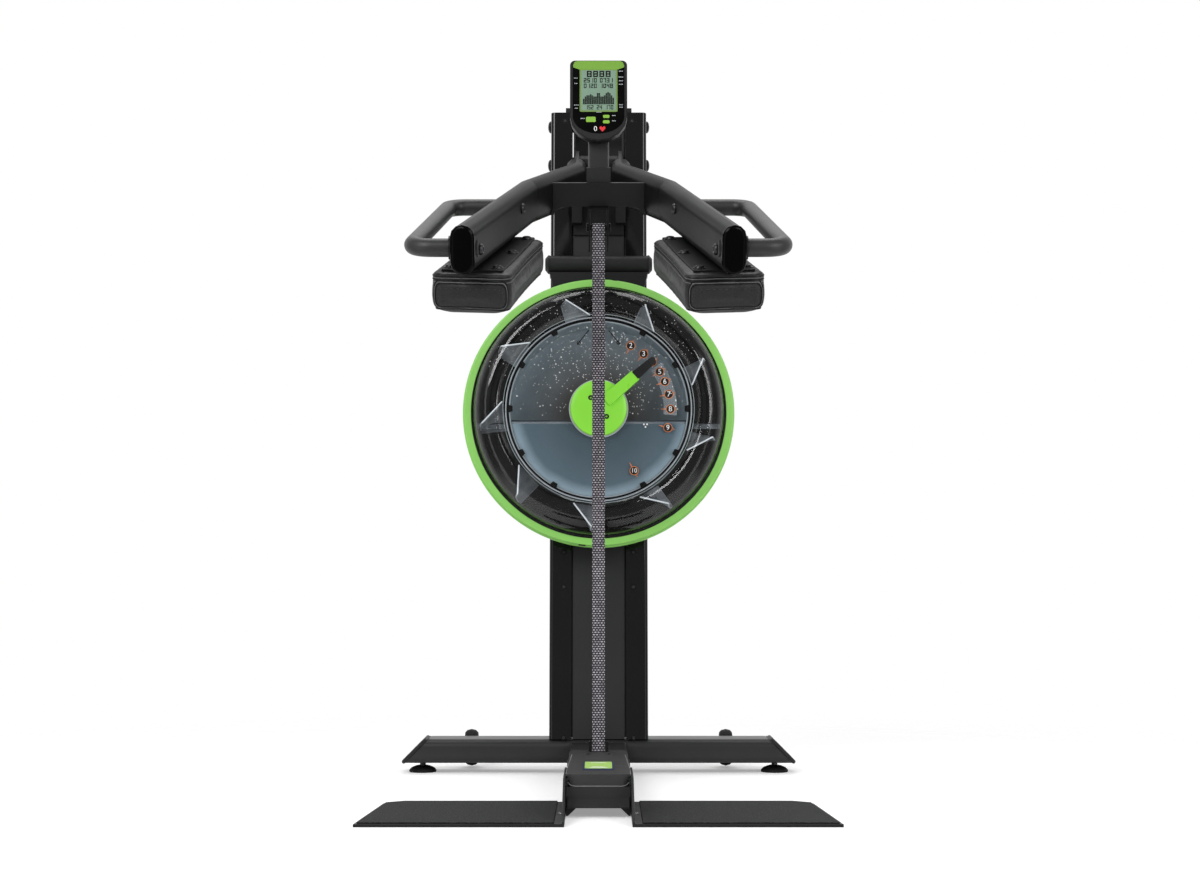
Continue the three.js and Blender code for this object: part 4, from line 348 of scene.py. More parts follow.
def lathe(profile, steps, loop=True):
    """A profile of (radius, y) turned about the y axis; it closes on itself where loop is true."""
    count = len(profile)
    verts, faces = [], []
    for i in range(steps):
        angle = 2 * math.pi * i / steps
        verts += [(r * math.cos(angle), y, r * math.sin(angle)) for r, y in profile]
    for i in range(steps):
        a, b = i * count, (i + 1) % steps * count
        for k in range(count if loop else count - 1):
            m = (k + 1) % count
            faces.append((a + k, a + m, b + m, b + k))
    return verts, faces


def hoop(inner, outer, y0, y1, steps=24):
    """A flat ring about the y axis."""
    return lathe([(inner, y0), (outer, y0), (outer, y1), (inner, y1)], steps)


def bow(start, end, steps, first):
    """Points from start to end on a quarter ellipse that sets off along y, or along the radius."""
    (r0, y0), (r1, y1) = start, end
    points = []
    for i in range(steps + 1):
        s, c = math.sin(math.pi / 2 * i / steps), math.cos(math.pi / 2 * i / steps)
        along_y = (r1 + (r0 - r1) * c, y0 + (y1 - y0) * s)
        along_r = (r0 + (r1 - r0) * s, y1 + (y0 - y1) * c)
        points.append(along_y if first == "y" else along_r)
    return points


def tube(points, radius, up, around, closed=False):
    """A round tube along points."""
    points, up, rings = [Vector(p) for p in points], Vector(up), []
    for i, point in enumerate(points):
        before = points[i - 1] if i or closed else point
        after = points[(i + 1) % len(points)] if i < len(points) - 1 or closed else point
        along = (after - before).normalized()
        side = along.cross(up).normalized()
        top = side.cross(along)
        rings.append([
            point + radius * (math.cos(a) * side + math.sin(a) * top)
            for a in (2 * math.pi * k / around for k in range(around))
        ])
    return loft(rings, closed)


def arc(x, z, radius, first, last, steps):
    """Points on a circle, from one angle to another in degrees."""
    angles = [math.radians(first + (last - first) * i / steps) for i in range(steps + 1)]
    return [(x + radius * math.cos(a), z + radius * math.sin(a)) for a in angles]


def prism(outline, y0, y1):
    """An outline of (x, z) points between two y planes."""
    return loft([[(x, y, z) for x, z in outline] for y in (y0, y1)])


def block(x0, x1, y0, y1, z0, z1):
    return prism([(x0, z0), (x1, z0), (x1, z1), (x0, z1)], y0, y1)


def bar(half_width, y0, y1, z0, z1):
    return block(-half_width, half_width, y0, y1, z0, z1)


def rounded_outline(x0, x1, z0, z1, corner, steps=5):
    right, left, top, bottom = x1 - corner, x0 + corner, z1 - corner, z0 + corner
    points = []
    for x, z, start in ((right, top, 0), (left, top, 90), (left, bottom, 180), (right, bottom, 270)):
        points += arc(x, z, corner, start, start + 90, steps)
    return points


def disc(radius, y0, y1, steps=24):
    return prism(arc(0, 0, radius, 0, 360, steps)[:-1], y0, y1)


def washer(radius, height):
    return lathe([(0, -height), (radius, -height), (radius, 0), (0, 0)], 24, loop=False)


def screw(radius, height):
    """A button head that faces -y, with a round socket."""
    well = radius * 0.45
    return lathe([
        (0, -height * 0.35), (well * 0.9, -height * 0.35), (well, -height), (radius * 0.72, -height * 0.97),
        (radius * 0.94, -height * 0.6), (radius, -height * 0.25), (radius, 0), (0, 0),
    ], 24, loop=False)


def round_corners(corners, radius, steps):
    """A path along corners with its bends rounded to circular arcs."""
    corners = [Vector(c) for c in corners]
    path = [corners[0]]
    for before, corner, after in zip(corners, corners[1:], corners[2:]):
        a, b = (before - corner).normalized(), (after - corner).normalized()
        half = a.angle(b) / 2
        centre = corner + (a + b).normalized() * radius / math.sin(half)
        start, end = corner + a * radius / math.tan(half), corner + b * radius / math.tan(half)
        first, last = start - centre, end - centre
        sweep = first.angle(last)
        for i in range(steps + 1):
            share = i / steps
            spoke = first * math.sin((1 - share) * sweep) + last * math.sin(share * sweep)
            path.append(centre + spoke / math.sin(sweep))
    path.append(corners[-1])
    return path


class Form:
    """Vertices and faces gathered from shapes, each face with the key of its look."""

    def __init__(self):
        self.verts, self.faces, self.keys = [], [], []

    def add(self, shape, key, at=None):
        verts, faces = shape
        start = len(self.verts)
        at = at or Matrix.Identity(4)
        self.verts += [at @ Vector(v) for v in verts]
        for face in faces:
            order = face if at.determinant() > 0 else face[::-1]
            self.faces.append([start + i for i in order])
            self.keys.append(key)
        return self


def smooth_group(limit):
    """A node group that shades smoothly across edges flatter than limit degrees."""
    group = bpy.data.node_groups.new("smooth_by_angle", "GeometryNodeTree")
    for way in ("INPUT", "OUTPUT"):
        group.interface.new_socket(name="Geometry", in_out=way, socket_type="NodeSocketGeometry")
    source = node(group, "NodeGroupInput").outputs[0]
    bare = node(group, "GeometryNodeRemoveAttribute", {"Geometry": source, "Name": "custom_normal"})
    flat = node(group, "GeometryNodeMergeByDistance", {"Geometry": bare.outputs[0], "Distance": 0.02 * MM})
    faces = node(group, "GeometryNodeSetShadeSmooth", {
        "Geometry": flat.outputs[0], "Shade Smooth": True,
    }, domain="FACE")
    angle = node(group, "GeometryNodeInputMeshEdgeAngle").outputs[0]
    low = node(group, "FunctionNodeCompare", {0: angle, 1: math.radians(limit)}, data_type="FLOAT",
               operation="LESS_THAN")
    edges = node(group, "GeometryNodeSetShadeSmooth", {
        "Geometry": faces.outputs[0], "Shade Smooth": low.outputs[0],
    }, domain="EDGE")
    node(group, "NodeGroupOutput", {0: edges.outputs[0]})
    return group


SMOOTH = smooth_group(38)


def shade(obj, bevel, planar=False):
    """Eased edges and smooth shading, as modifiers."""
    weld = obj.modifiers.new("joined", "NODES")
    weld.node_group = SMOOTH
    if planar:
        flat = obj.modifiers.new("planar", "DECIMATE")
        flat.decimate_type = "DISSOLVE"
        flat.angle_limit = math.radians(0.6)
    if bevel:
        ease = obj.modifiers.new("eased", "BEVEL")
        ease.width = bevel * MM
        ease.segments = 2
        ease.limit_method = "ANGLE"
        ease.angle_limit = math.radians(32)
    smooth = obj.modifiers.new("smooth", "NODES")
    smooth.node_group = SMOOTH
    weighted = obj.modifiers.new("weighted", "WEIGHTED_NORMAL")
    weighted.keep_sharp = True


def piece(name, form, at, body, replaces=(), bevel=0.0, closed=True):
    """Makes the form a mesh in the place at, in metres, riding on a body."""
    mesh = bpy.data.meshes.new(name)
    faces = [f[::-1] for f in form.faces] if at.determinant() < 0 else form.faces
    mesh.from_pydata([(at @ v) * MM for v in form.verts], [], faces)
    keys = list(dict.fromkeys(form.keys))
    mesh.polygons.foreach_set("material_index", [keys.index(key) for key in form.keys])
    for key in keys:
        mesh.materials.append(look[key])
    if closed:
        shape = bmesh.new()
        shape.from_mesh(mesh)
        bmesh.ops.remove_doubles(shape, verts=shape.verts, dist=1e-6)
        bmesh.ops.dissolve_degenerate(shape, edges=shape.edges, dist=1e-7)
        bmesh.ops.recalc_face_normals(shape, faces=shape.faces)
        shape.to_mesh(mesh)
        shape.free()
    obj = bpy.data.objects.new(name, mesh)
    scene.collection.objects.link(obj)
    shade(obj, bevel)
    if body:
        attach(obj, body)
    if replaces:
        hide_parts(*replaces)
    return obj


def letters(text, height):
    """Generic figures as flat shapes in the x, z plane, centred on the origin."""
    curve = bpy.data.curves.new("letters", "FONT")
    curve.body, curve.size = text, height * 1.38
    curve.align_x, curve.align_y = "CENTER", "CENTER"
    curve.resolution_u = 3
    holder = bpy.data.objects.new("letters", curve)
    scene.collection.objects.link(holder)
    bpy.context.view_layer.update()
    mesh = bpy.data.meshes.new_from_object(holder.evaluated_get(bpy.context.evaluated_depsgraph_get()))
    verts = [(v.co.x, 0, v.co.y) for v in mesh.vertices]
    faces = [tuple(p.vertices) for p in mesh.polygons]
    bpy.data.objects.remove(holder)
    return verts, faces


# Camera at the photograph's viewing angle
CAMERA_PITCH = 3.2034
camera = bpy.data.objects.new("camera", bpy.data.cameras.new("camera"))
scene.collection.objects.link(camera)
camera.location = Vector((2.6, -4000 + MACHINE.translation.y, 408.9)) * MM
camera.rotation_euler = (math.radians(90 + CAMERA_PITCH), 0, 0)
camera.data.sensor_width = 36
camera.data.lens = 61.59
camera.data.clip_end = 200
scene.camera = camera

# Plain studio: a white backdrop for the camera and, behind the object, for mirrors and clear plastic; a
# soft box on each side for mirrors; soft light elsewhere
AMBIENT = 0.46
FRONT_GLOSS = 0.2
SOFTBOX = 1.2
world = bpy.data.worlds.new("studio")
scene.world = world
world.use_nodes = True
sky = world.node_tree
sky.nodes.clear()
ray = node(sky, "ShaderNodeLightPath").outputs
heading = node(sky, "ShaderNodeSeparateXYZ", {
    0: node(sky, "ShaderNodeTexCoord").outputs["Generated"],
}).outputs
sideways, upwards = maths(sky, "ABSOLUTE", heading[0]), maths(sky, "ABSOLUTE", heading[2])
box = maths(sky, "MULTIPLY", span(sky, sideways, 0, 1, 0.58, 0.68), span(sky, sideways, 1, 0, 0.76, 0.86))
box = maths(sky, "MULTIPLY", box, span(sky, upwards, 1, 0, 0.5, 0.62))
box = maths(sky, "MULTIPLY", box, span(sky, heading[1], 1, 0, -0.15, 0.0))
backdrop = mixed(sky, box, span(sky, heading[1], FRONT_GLOSS, 1.0, 0.1, 0.7), SOFTBOX)
mirrored = maths(sky, "MAXIMUM", ray["Is Glossy Ray"], ray["Is Transmission Ray"])
seen = mixed(sky, ray["Is Camera Ray"], mixed(sky, mirrored, AMBIENT, backdrop), 1.0)
light = node(sky, "ShaderNodeBackground", {"Color": WHITE, "Strength": seen})
node(sky, "ShaderNodeOutputWorld", {0: light.outputs[0]})


def lamp(name, location, target, size, power, mirrors=True):
    light = bpy.data.lights.new(name, "AREA")
    light.shape, light.size, light.size_y, light.energy = "RECTANGLE", size[0], size[1], power
    obj = bpy.data.objects.new(name, light)
    scene.collection.objects.link(obj)
    obj.visible_glossy = mirrors
    obj.location = location
    obj.rotation_euler = (Vector(target) - Vector(location)).to_track_quat("-Z", "Y").to_euler()


lamp("key", (-2.2, -3.6, 3.4), (0, 0, 0.6), (2.2, 2.2), 92)
lamp("fill", (2.6, -3.4, 2.2), (0, 0, 0.7), (1.8, 1.8), 42)
lamp("strip_left", (-1.7, -1.1, 0.9), (0, 0.1, 0.75), (0.3, 1.5), 10, False)
lamp("strip_right", (1.7, -1.1, 0.9), (0, 0.1, 0.75), (0.3, 1.5), 10, False)
lamp("top", (0, 0.6, 3.2), (0, 0, 0.6), (1.8, 1.2), 22)

# Floor: it keeps the shadow, is a little brighter to the camera, and fades into the backdrop
FLOOR_HALF = 4
FLOOR_NEAR = 0.6
FLOOR_FAR = 1.9
floor_look, tree, floor_place = new_material("pale_floor")
floor_tone = between(tree, noise(tree, floor_place, 900), (0.9, 0.9, 0.9, 1), (0.92, 0.92, 0.92, 1))
floor_ray = node(tree, "ShaderNodeLightPath").outputs["Is Camera Ray"]
floor_matt = node(tree, "ShaderNodeBsdfDiffuse", {"Color": floor_tone})
floor_lift = node(tree, "ShaderNodeEmission", {"Strength": span(tree, floor_ray, 0, 0.3, 0, 1)})
floor_sum = node(tree, "ShaderNodeAddShader", {0: floor_matt.outputs[0], 1: floor_lift.outputs[0]})
fade = node(tree, "ShaderNodeMapRange", {
    "Value": node(tree, "ShaderNodeVectorMath", {0: floor_place}, operation="LENGTH").outputs["Value"],
    "From Min": FLOOR_NEAR, "From Max": FLOOR_FAR, "To Min": 0, "To Max": 1,
}, interpolation_type="SMOOTHSTEP").outputs[0]
finished(floor_look, "ShaderNodeMixShader", {
    0: fade, 1: floor_sum.outputs[0], 2: node(tree, "ShaderNodeBsdfTransparent").outputs[0],
})
floor_mesh = bpy.data.meshes.new("floor")
floor_mesh.from_pydata([
    (x * FLOOR_HALF, y * FLOOR_HALF, 0) for x, y in ((-1, -1), (1, -1), (1, 1), (-1, 1))
], [], [(0, 1, 2, 3)])
floor_mesh.materials.append(floor_look)
floor = bpy.data.objects.new("floor", floor_mesh)
scene.collection.objects.link(floor)
scene.view_settings.view_transform = "Standard"

# Carried-over solids: material, eased edges and smooth shading. A name stands for its left and right too.
CAD_LOOKS = {
    "tube": ("column_tube", "rear_crossbar", "base_beam", "front_yoke", "console_mast"),
    "steel": ("footplate", "pivot_cheek", "rest_bar_bracket", "tank_bracket", "pivot_yoke",
              "lever_cross_plate"),
    "arm": ("lever_arm", "pad_plate"),
    "dark": ("strap_clevis", "strap_pin", "pivot_axle", "top_tie_bolt"),
    "gloss": ("side_panel",),
    "cap": ("arm_cap",),
    "cover": ("pulley_cover",),
    "plastic": ("crossbar_cap", "rest_bar", "base_pulley", "foot_pulley", "strap_spool",
                "recoil_spring_case", "console_housing"),
    "deep": ("tank_rear_shell",),
    "rubber": ("lever_stop", "transport_wheel"),
    "mat": ("grip_mat",),
    "key": ("key_start", "key_up", "key_down"),
    "bolt": ("pivot_bush", "base_pulley_axle", "foot_pulley_axle"),
}
EASE = 0.8
EASED = {"crossbar_cap": 2.2, "arm_cap": 1.8, "console_housing": 0.6, "key_start": 0.5, "key_up": 0.5,
         "key_down": 0.5, "grip_mat": 0.5, "pulley_cover": 1.4, "side_panel": 1.2}
for key, stems in CAD_LOOKS.items():
    for stem in stems:
        for name in (stem, stem + "_left", stem + "_right"):
            if name in nodes:
                carried = nodes[name]
                carried.data.materials.clear()
                carried.data.materials.append(look[key])
                shade(carried, EASED.get(stem, EASE), planar=True)


# Water tank
TANK_JOINT = -125
TANK_TURN = TANK_JOINT - 15
TANK_WINDOW = -166
TANK_CREST = (206, -195)
TANK_RADIUS = 240
TANK_SEAM = 174
TANK_WALL = 4
TANK_FLANGE = TANK_RADIUS + 14
CHAMBER_FRONT = TANK_WINDOW + TANK_WALL + 0.3
CHAMBER_BACK = CHAMBER_FRONT + 64
CHAMBER_RADIUS = 171.5
CHAMBER_WALL = 3
WATER_RADIUS = 167.6
WATER_LEVEL = -23
HUB_RADIUS = 54
HUB_FRONT = -181.3
HUB_BACK = -166.4
SELECTOR_ANGLE = -41.5


def tank_rim():
    """The green rim that clamps both flanges, its dark seal, and the two gaps between its halves."""
    joint, seat = TANK_JOINT, TANK_FLANGE + 0.3
    groove, ease, lip_ease = 7.45, 2, 1.5
    front, back = joint - 11.15, joint + 11.15
    outer, rear_outer, lip, rear_lip = seat + 3.7, seat + 6.7, TANK_FLANGE - 9.5, TANK_RADIUS + 2
    rim = [(lip, joint - groove), (seat, joint - groove), (seat, joint + groove), (rear_lip, joint + groove),
           (rear_lip, back)]
    rim += bow((rear_outer - ease, back), (rear_outer, back - ease), 4, "r")
    rim += [(rear_outer, joint + 1), (outer, joint)]
    rim += bow((outer, front + ease), (outer - ease, front), 4, "y")
    rim += bow((lip + lip_ease, front), (lip, front + lip_ease), 3, "r")
    piece("tank_clamp_rim", Form().add(lathe(rim, 180), "rim"), TANK, "frame", ["tank_rim"])

    seal = Form()
    for angle, width in ((187, 13), (7, 9)):
        seal.add(bar(width / 2, joint - 9, joint + 4, outer - 4, outer + 1.6), "dark", turn(angle, "Y"))
    seal_out, seal_in, seal_back = TANK_FLANGE - 9.2, TANK_FLANGE - 12.4, joint - 7.6
    seal.add(lathe([
        (seal_out, seal_back), (seal_out, joint - 10.6), (seal_in, joint - 10.2), (seal_in, seal_back),
    ], 160), "dark")
    piece("tank_seal", seal, TANK, "frame", bevel=0.4)


def tank_cover():
    """The clear front shell; its inner faces hardly mirror."""
    flange_back = TANK_JOINT - 0.15
    flange_front = flange_back - 7
    inner_radius, inner_window = TANK_RADIUS - TANK_WALL, TANK_WINDOW + TANK_WALL
    inner_crest = (TANK_CREST[0], TANK_CREST[1] + TANK_WALL)
    shaft_hole = 9
    shell = [(inner_radius, flange_back), (TANK_FLANGE, flange_back), (TANK_FLANGE, flange_front),
             (TANK_RADIUS, flange_front), (TANK_RADIUS, flange_back - 15)]
    shell += bow((TANK_RADIUS, TANK_TURN), TANK_CREST, 16, "y")
    shell += bow(TANK_CREST, (TANK_SEAM, TANK_WINDOW), 14, "r")[1:]
    shell += [(shaft_hole, TANK_WINDOW), (shaft_hole, inner_window)]
    shell += bow((TANK_SEAM + 2, inner_window), inner_crest, 14, "y")
    shell += bow(inner_crest, (inner_radius, TANK_TURN), 16, "r")[1:]
    cover = piece("tank_clear_cover", Form().add(lathe(shell, 160), "shell"), TANK, "frame",
                  ["tank_front_shell"])
    cover.data.materials.append(look["liner"])
    back, level = TANK.inverted(), 0.2
    for face in cover.data.polygons:
        normal, spot = back.to_3x3() @ face.normal, back @ (face.center / MM)
        inward = -normal.dot(Vector((spot.x, 0, spot.z)).normalized())
        if normal.y > level or (abs(normal.y) <= level and inward > 0):
            face.material_index = 1


def chamber_pieces():
    """The inner storage chamber with its water, and the rings and clips round its window."""
    front, back, window, joint = CHAMBER_FRONT, CHAMBER_BACK, TANK_WINDOW, TANK_JOINT
    floor_y, inner = back - CHAMBER_WALL, CHAMBER_RADIUS - CHAMBER_WALL
    chamber = Form().add(lathe([
        (0, floor_y), (inner, floor_y), (inner, front), (CHAMBER_RADIUS, front), (CHAMBER_RADIUS, back),
        (0, back),
    ], 128, loop=False), "back")
    piece("inner_chamber", chamber, TANK, "frame", ["storage_chamber"])

    dip = math.degrees(math.asin(WATER_LEVEL / WATER_RADIUS))
    outline = arc(0, 0, WATER_RADIUS, 180 - dip, 360 + dip, 72)
    water = Form().add(prism(outline, front + 0.4, floor_y - 0.4), "water")
    piece("water_in_chamber", water, TANK, "frame", ["tank_water"])

    line, level = Form(), WATER_LEVEL
    line.add(bar(166, front - 0.02, front + 0.3, level - 1.2, level + 1.6), "meniscus")
    line.add(bar(165, front, front + 0.25, level - 5.5, level - 0.8), "faint")
    for side in (1, -1):
        low, high = sorted((side * 181, side * 235))
        line.add(block(low, high, joint + 10, joint + 11, level - 8, level + 1), "haze")
        line.add(block(low, high, joint + 9.6, joint + 11, level + 1, level + 2.4), "meniscus")
    piece("water_line", line, TANK, "frame")

    rings = Form()
    # The pale rings stand for the window ring's glints: painted highlights all round.
    for radius, width, y, key in ((172.6, 3.2, window - 0.2, "dark"), (176.5, 2.4, window - 3.2, "pale"),
                                  (169.2, 0.9, window - 0.2, "pale"), (181.5, 1.0, window - 9.5, "pale")):
        rings.add(hoop(radius - width / 2, radius + width / 2, y - 0.6, y, 160), key)
    for clip in range(12):
        at = turn(30 * clip, "Y")
        clamp = prism([(-7, 171), (-5, 163.5), (5, 163.5), (7, 171)], window - 3.4, window - 0.1)
        rings.add(clamp, "dark", at)
        rings.add(bar(3, window - 4.6, window - 3.3, 165, 169), "dark", at)
    piece("window_ring_and_clips", rings, TANK, "frame", bevel=0.3)
    collar = Form().add(hoop(175.5, 178, front + 1, front + 58, 128), "dark")
    piece("chamber_collar", collar, TANK, "frame")


def dial_marks():
    """Figures 2 to 10 on the window, each in a ringed spot with a stem and a point."""
    front, radius, ring_radius, thin = TANK_WINDOW - 0.15, 7.6, 136.5, 0.2
    figures = {"2": 26.7, "3": 39, "4": 48.5, "5": 58.5, "6": 67.4, "7": 78.2, "8": 90.3, "9": 105.5,
               "10": 150.5}
    marks = Form()
    for figure, angle in figures.items():
        spoke = turn(angle, "Y") @ shift(0, 0, ring_radius)
        at = Matrix.Translation(spoke.translation)
        marks.add(disc(radius, front - 0.25, front), "ink", at)
        marks.add(hoop(radius, radius + 0.9, front - 0.3, front, 32), "orange", at)
        marks.add(bar(0.5, front - thin, front, -radius - 10, -radius - 0.5), "orange", spoke)
        marks.add(bar(1.8, front - thin, front, -radius - 5, -radius - 4), "orange", spoke)
        for lean in (-1, 1):
            marks.add(prism([
                (lean * 3.2, radius - 0.4), (0, radius + 6.5), (0, radius + 5), (lean * 2.4, radius - 0.4),
            ], front - thin, front), "orange", spoke)
        marks.add(letters(figure, 10.5 if len(figure) == 1 else 8.5), "white", at @ shift(0, front - 0.4, 0))
    for side in (-1, 1):
        start, end = Vector((side * 19, 0, 152)), Vector((side * 41, 0, 124))
        along = (end - start).normalized()
        across = Vector((along.z, 0, -along.x))
        corners = [start - across, end - across, end + across, start + across]
        marks.add(prism([(c.x, c.z) for c in corners], front - 0.25, front), "ink")
        dot = end - along * 5
        marks.add(hoop(2.2, 4, front - 0.4, front), "ink", shift(dot.x, 0, dot.z))
    for x, z in ((86, -30), (92, -30), (89, -35)):
        marks.add(disc(1.7, front - thin, front, 12), "white", shift(x, 0, z))
    piece("dial_figures", marks, TANK, "frame", closed=False)
    outline = arc(0, 0, 149, 37, -5, 24) + arc(0, 0, 124, -5, 37, 24)
    band = Form().add(prism(outline, front - 0.06, front), "faint")
    piece("dial_band", band, TANK, "frame")


def droplets():
    """Splashes on the clear cover above the water: on its window, and on the bulge round it."""
    def droplet(size, shoulder, tip):
        return lathe([(size, 0), (size * 0.8, -size * shoulder), (0, -size * tip)], 7, loop=False)

    rng = random.Random(7)
    drops = Form()
    for _ in range(1700):
        a = rng.uniform(-math.pi, math.pi)
        r = 164 * math.sqrt(rng.random())
        x, z = r * math.sin(a), r * math.cos(a)
        density = 0.9 - abs(x - 15) / 190 + z / 300
        if z < -14 or r < 60 or rng.random() > density:
            continue
        size = rng.uniform(0.5, 1.0) if rng.random() < 0.85 else rng.uniform(1.0, 1.6)
        drops.add(droplet(size, 0.45, 0.75), "drop", shift(x, TANK_WINDOW - 0.02, z))
    crest_r, crest_y = TANK_CREST
    for _ in range(150):
        a = rng.uniform(-1.25, 1.25)
        r = rng.uniform(183, 226)
        size = rng.uniform(0.4, 0.9)
        edge_r, edge_y = (TANK_RADIUS, TANK_TURN) if r > crest_r else (TANK_SEAM, TANK_WINDOW)
        rise = (r - crest_r) / (edge_r - crest_r)
        y = crest_y + (edge_y - crest_y) * (1 - math.sqrt(max(0.0, 1 - rise * rise)))
        drops.add(droplet(size, 0.5, 0.8), "drop", shift(r * math.sin(a), y - 0.1, r * math.cos(a)))
    piece("splash_droplets", drops, TANK, "frame", closed=False)


def impeller_pieces():
    """Rear disc and shaft with twisted clear vanes round the rim, each with near-white tubes along its edges
    as painted glints.
    """
    plane, depth, hub, rim = -86, 68, 22, 178
    disc_and_shaft = Form()
    disc_and_shaft.add(lathe([
        (0, plane + 14), (hub, plane + 14), (30, plane), (rim, plane), (rim, plane - 4), (hub, plane - 4),
        (hub, plane - 8), (0, plane - 8),
    ], 96, loop=False), "dark")
    disc_and_shaft.add(lathe([(0, 15), (8, 15), (8, -94), (0, -94)], 32, loop=False), "dark")
    piece("impeller_disc", disc_and_shaft, TANK, "impeller", ["impeller"])

    steps, root_sweep, tip_sweep, half = 12, 46, 9, Vector((1.1, 0, 0))
    roots, tips = [], []
    for i in range(steps + 1):
        along = i / steps
        y = plane - depth * along
        reach = 232 - 9 * along ** 2 - 3 * (1 - along)
        roots.append(Vector((root_sweep * along ** 1.15, y, rim + 1)))
        tips.append(Vector((3 + tip_sweep * along + 5 * math.sin(math.pi * along), y, reach)))
    blade = loft([(root - half, tip - half, tip + half, root + half) for root, tip in zip(roots, tips)])
    # Thin near-white tubes along each vane's edges: painted glints.
    edges = [tube((roots[-1], tips[-1]), 1.5, (0, 1, 0), 8), tube(tips[2:], 1.3, (0, 0, 1), 8),
             tube((roots[0], tips[0]), 0.6, (0, 1, 0), 8)]
    vanes = Form()
    for vane in range(9):
        at = turn(20.5 + 40 * vane, "Y")
        vanes.add(blade, "blade", at)
        for edge in edges:
            vanes.add(edge, "painted_vane_glint", at)
    piece("impeller_vanes", vanes, TANK, "impeller")


def selector_pieces():
    """The green hub and arm that set the resistance, the black grip, two screws and a pale ring painted as a
    highlight round the hub.
    """
    front, back, radius = HUB_FRONT, HUB_BACK, HUB_RADIUS
    arm = turn(SELECTOR_ANGLE, "Y")
    dome = [(0, back), (radius, back), (radius, front + 7)]
    dome += bow((radius, front + 6), (radius - 4, front + 3), 4, "y")
    dome += [(radius - 10, front + 1.5), (20, front + 0.2), (0, front)]
    hub = Form().add(lathe(dome, 96, loop=False), "hub")
    hub.add(prism([(18, -12), (94, -11), (94, 11), (18, 12)], front - 4, front + 5.8), "hub", arm)
    piece("selector_hub", hub, TANK, "resistance_selector", ["resistance_selector"],
          bevel=0.9)

    grip_front, tip, tip_radius = -186.7, 136, 6.4
    outline = [(92, -8.6), (tip, -tip_radius)]
    outline += arc(tip, 0, tip_radius, -75, 75, 10) + [(tip, tip_radius), (92, 8.6)]
    grip = Form().add(prism(outline, grip_front, -174.3), "plastic", arm)
    for rib in range(7):
        x, half = 99 + 5 * rib, 6.8 - 0.3 * rib
        grip.add(block(x, x + 2, grip_front - 1, grip_front + 0.2, -half, half), "plastic", arm)
    piece("selector_grip", grip, TANK, "resistance_selector", bevel=0.6)

    trim = Form()
    for x, z in ((-15, 19), (15, -17)):
        trim.add(screw(5, 2.6), "ink", shift(x, front + 1.4, z))
    # The pale ring behind the hub's rim: a painted highlight.
    inner, outer, ring_back = radius + 0.4, radius + 2.6, -166.2
    trim.add(lathe([(inner, ring_back), (outer, ring_back), (outer, -168), (inner, -170)], 96), "pale")
    piece("selector_screws", trim, TANK, "resistance_selector", bevel=0.2)


# Shoulder pads
PAD_HALF_WIDTH = 64
PAD_HALF_LENGTH = 175
PAD_TOP = -5.3
PAD_BOTTOM = -64.3


def bake(obj):
    """Replaces the mesh by what its modifiers make of it."""
    bpy.context.view_layer.update()
    made = bpy.data.meshes.new_from_object(obj.evaluated_get(bpy.context.evaluated_depsgraph_get()))
    obj.modifiers.clear()
    obj.data = made


def stuffed(name, node_name, grow, cap):
    """A copy of a pad's solid, grown, remeshed and filled by a cloth simulation; no point moves in, or
    out past cap."""
    mesh = nodes[node_name].data.copy()
    shape = bmesh.new()
    shape.from_mesh(mesh)
    bmesh.ops.remove_doubles(shape, verts=shape.verts, dist=2e-5)
    bmesh.ops.recalc_face_normals(shape, faces=shape.faces)
    shape.normal_update()
    moved = [v.co + v.normal * grow * MM for v in shape.verts]
    for v, co in zip(shape.verts, moved):
        v.co = co
    shape.to_mesh(mesh)
    shape.free()
    obj = bpy.data.objects.new(name, mesh)
    scene.collection.objects.link(obj)
    remesh = obj.modifiers.new("remesh", "REMESH")
    remesh.mode, remesh.voxel_size = "VOXEL", 4 * MM
    even = obj.modifiers.new("even", "SMOOTH")
    even.factor, even.iterations = 0.5, 1
    bake(obj)
    rest = [(v.co.copy(), v.normal.copy()) for v in obj.data.vertices]
    cloth = obj.modifiers.new("cloth", "CLOTH")
    cloth.settings.quality = 6
    cloth.settings.mass = 0.3
    cloth.settings.tension_stiffness = cloth.settings.compression_stiffness = 22
    cloth.settings.shear_stiffness, cloth.settings.bending_stiffness = 12, 3
    cloth.settings.use_pressure = True
    cloth.settings.uniform_pressure_force = 4
    cloth.settings.effector_weights.gravity = 0
    for step in range(1, 21):
        scene.frame_set(step)
    bake(obj)
    scene.frame_set(1)
    for v, (start, normal) in zip(obj.data.vertices, rest):
        swell = (v.co - start).dot(normal)
        v.co = start + normal * min(max(swell, 0), cap * MM)
    return obj


def skin(mesh):
    """A mesh's surface, to find places on."""
    return BVHTree.FromPolygons([v.co.copy() for v in mesh.vertices],
                                [tuple(p.vertices) for p in mesh.polygons])


def dense(points, step):
    """The closed loop through points with no gap over step."""
    found = []
    for a, b in zip(points, points[1:] + points[:1]):
        a, b = Vector(a), Vector(b)
        parts = max(1, round((b - a).length / step))
        found += [a.lerp(b, i / parts) for i in range(parts)]
    return found


def stitch(form, loop):
    """Short thread stitches along every second span of a loop."""
    for a, b in zip(loop[::2], loop[1::2]):
        if (b - a).length >= 0.5:
            up = (0, 0, 1) if abs((b - a).normalized().z) < 0.9 else (1, 0, 0)
            form.add(tube([a.lerp(b, 0.12), a.lerp(b, 0.88)], 0.55, up, 5), "thread")


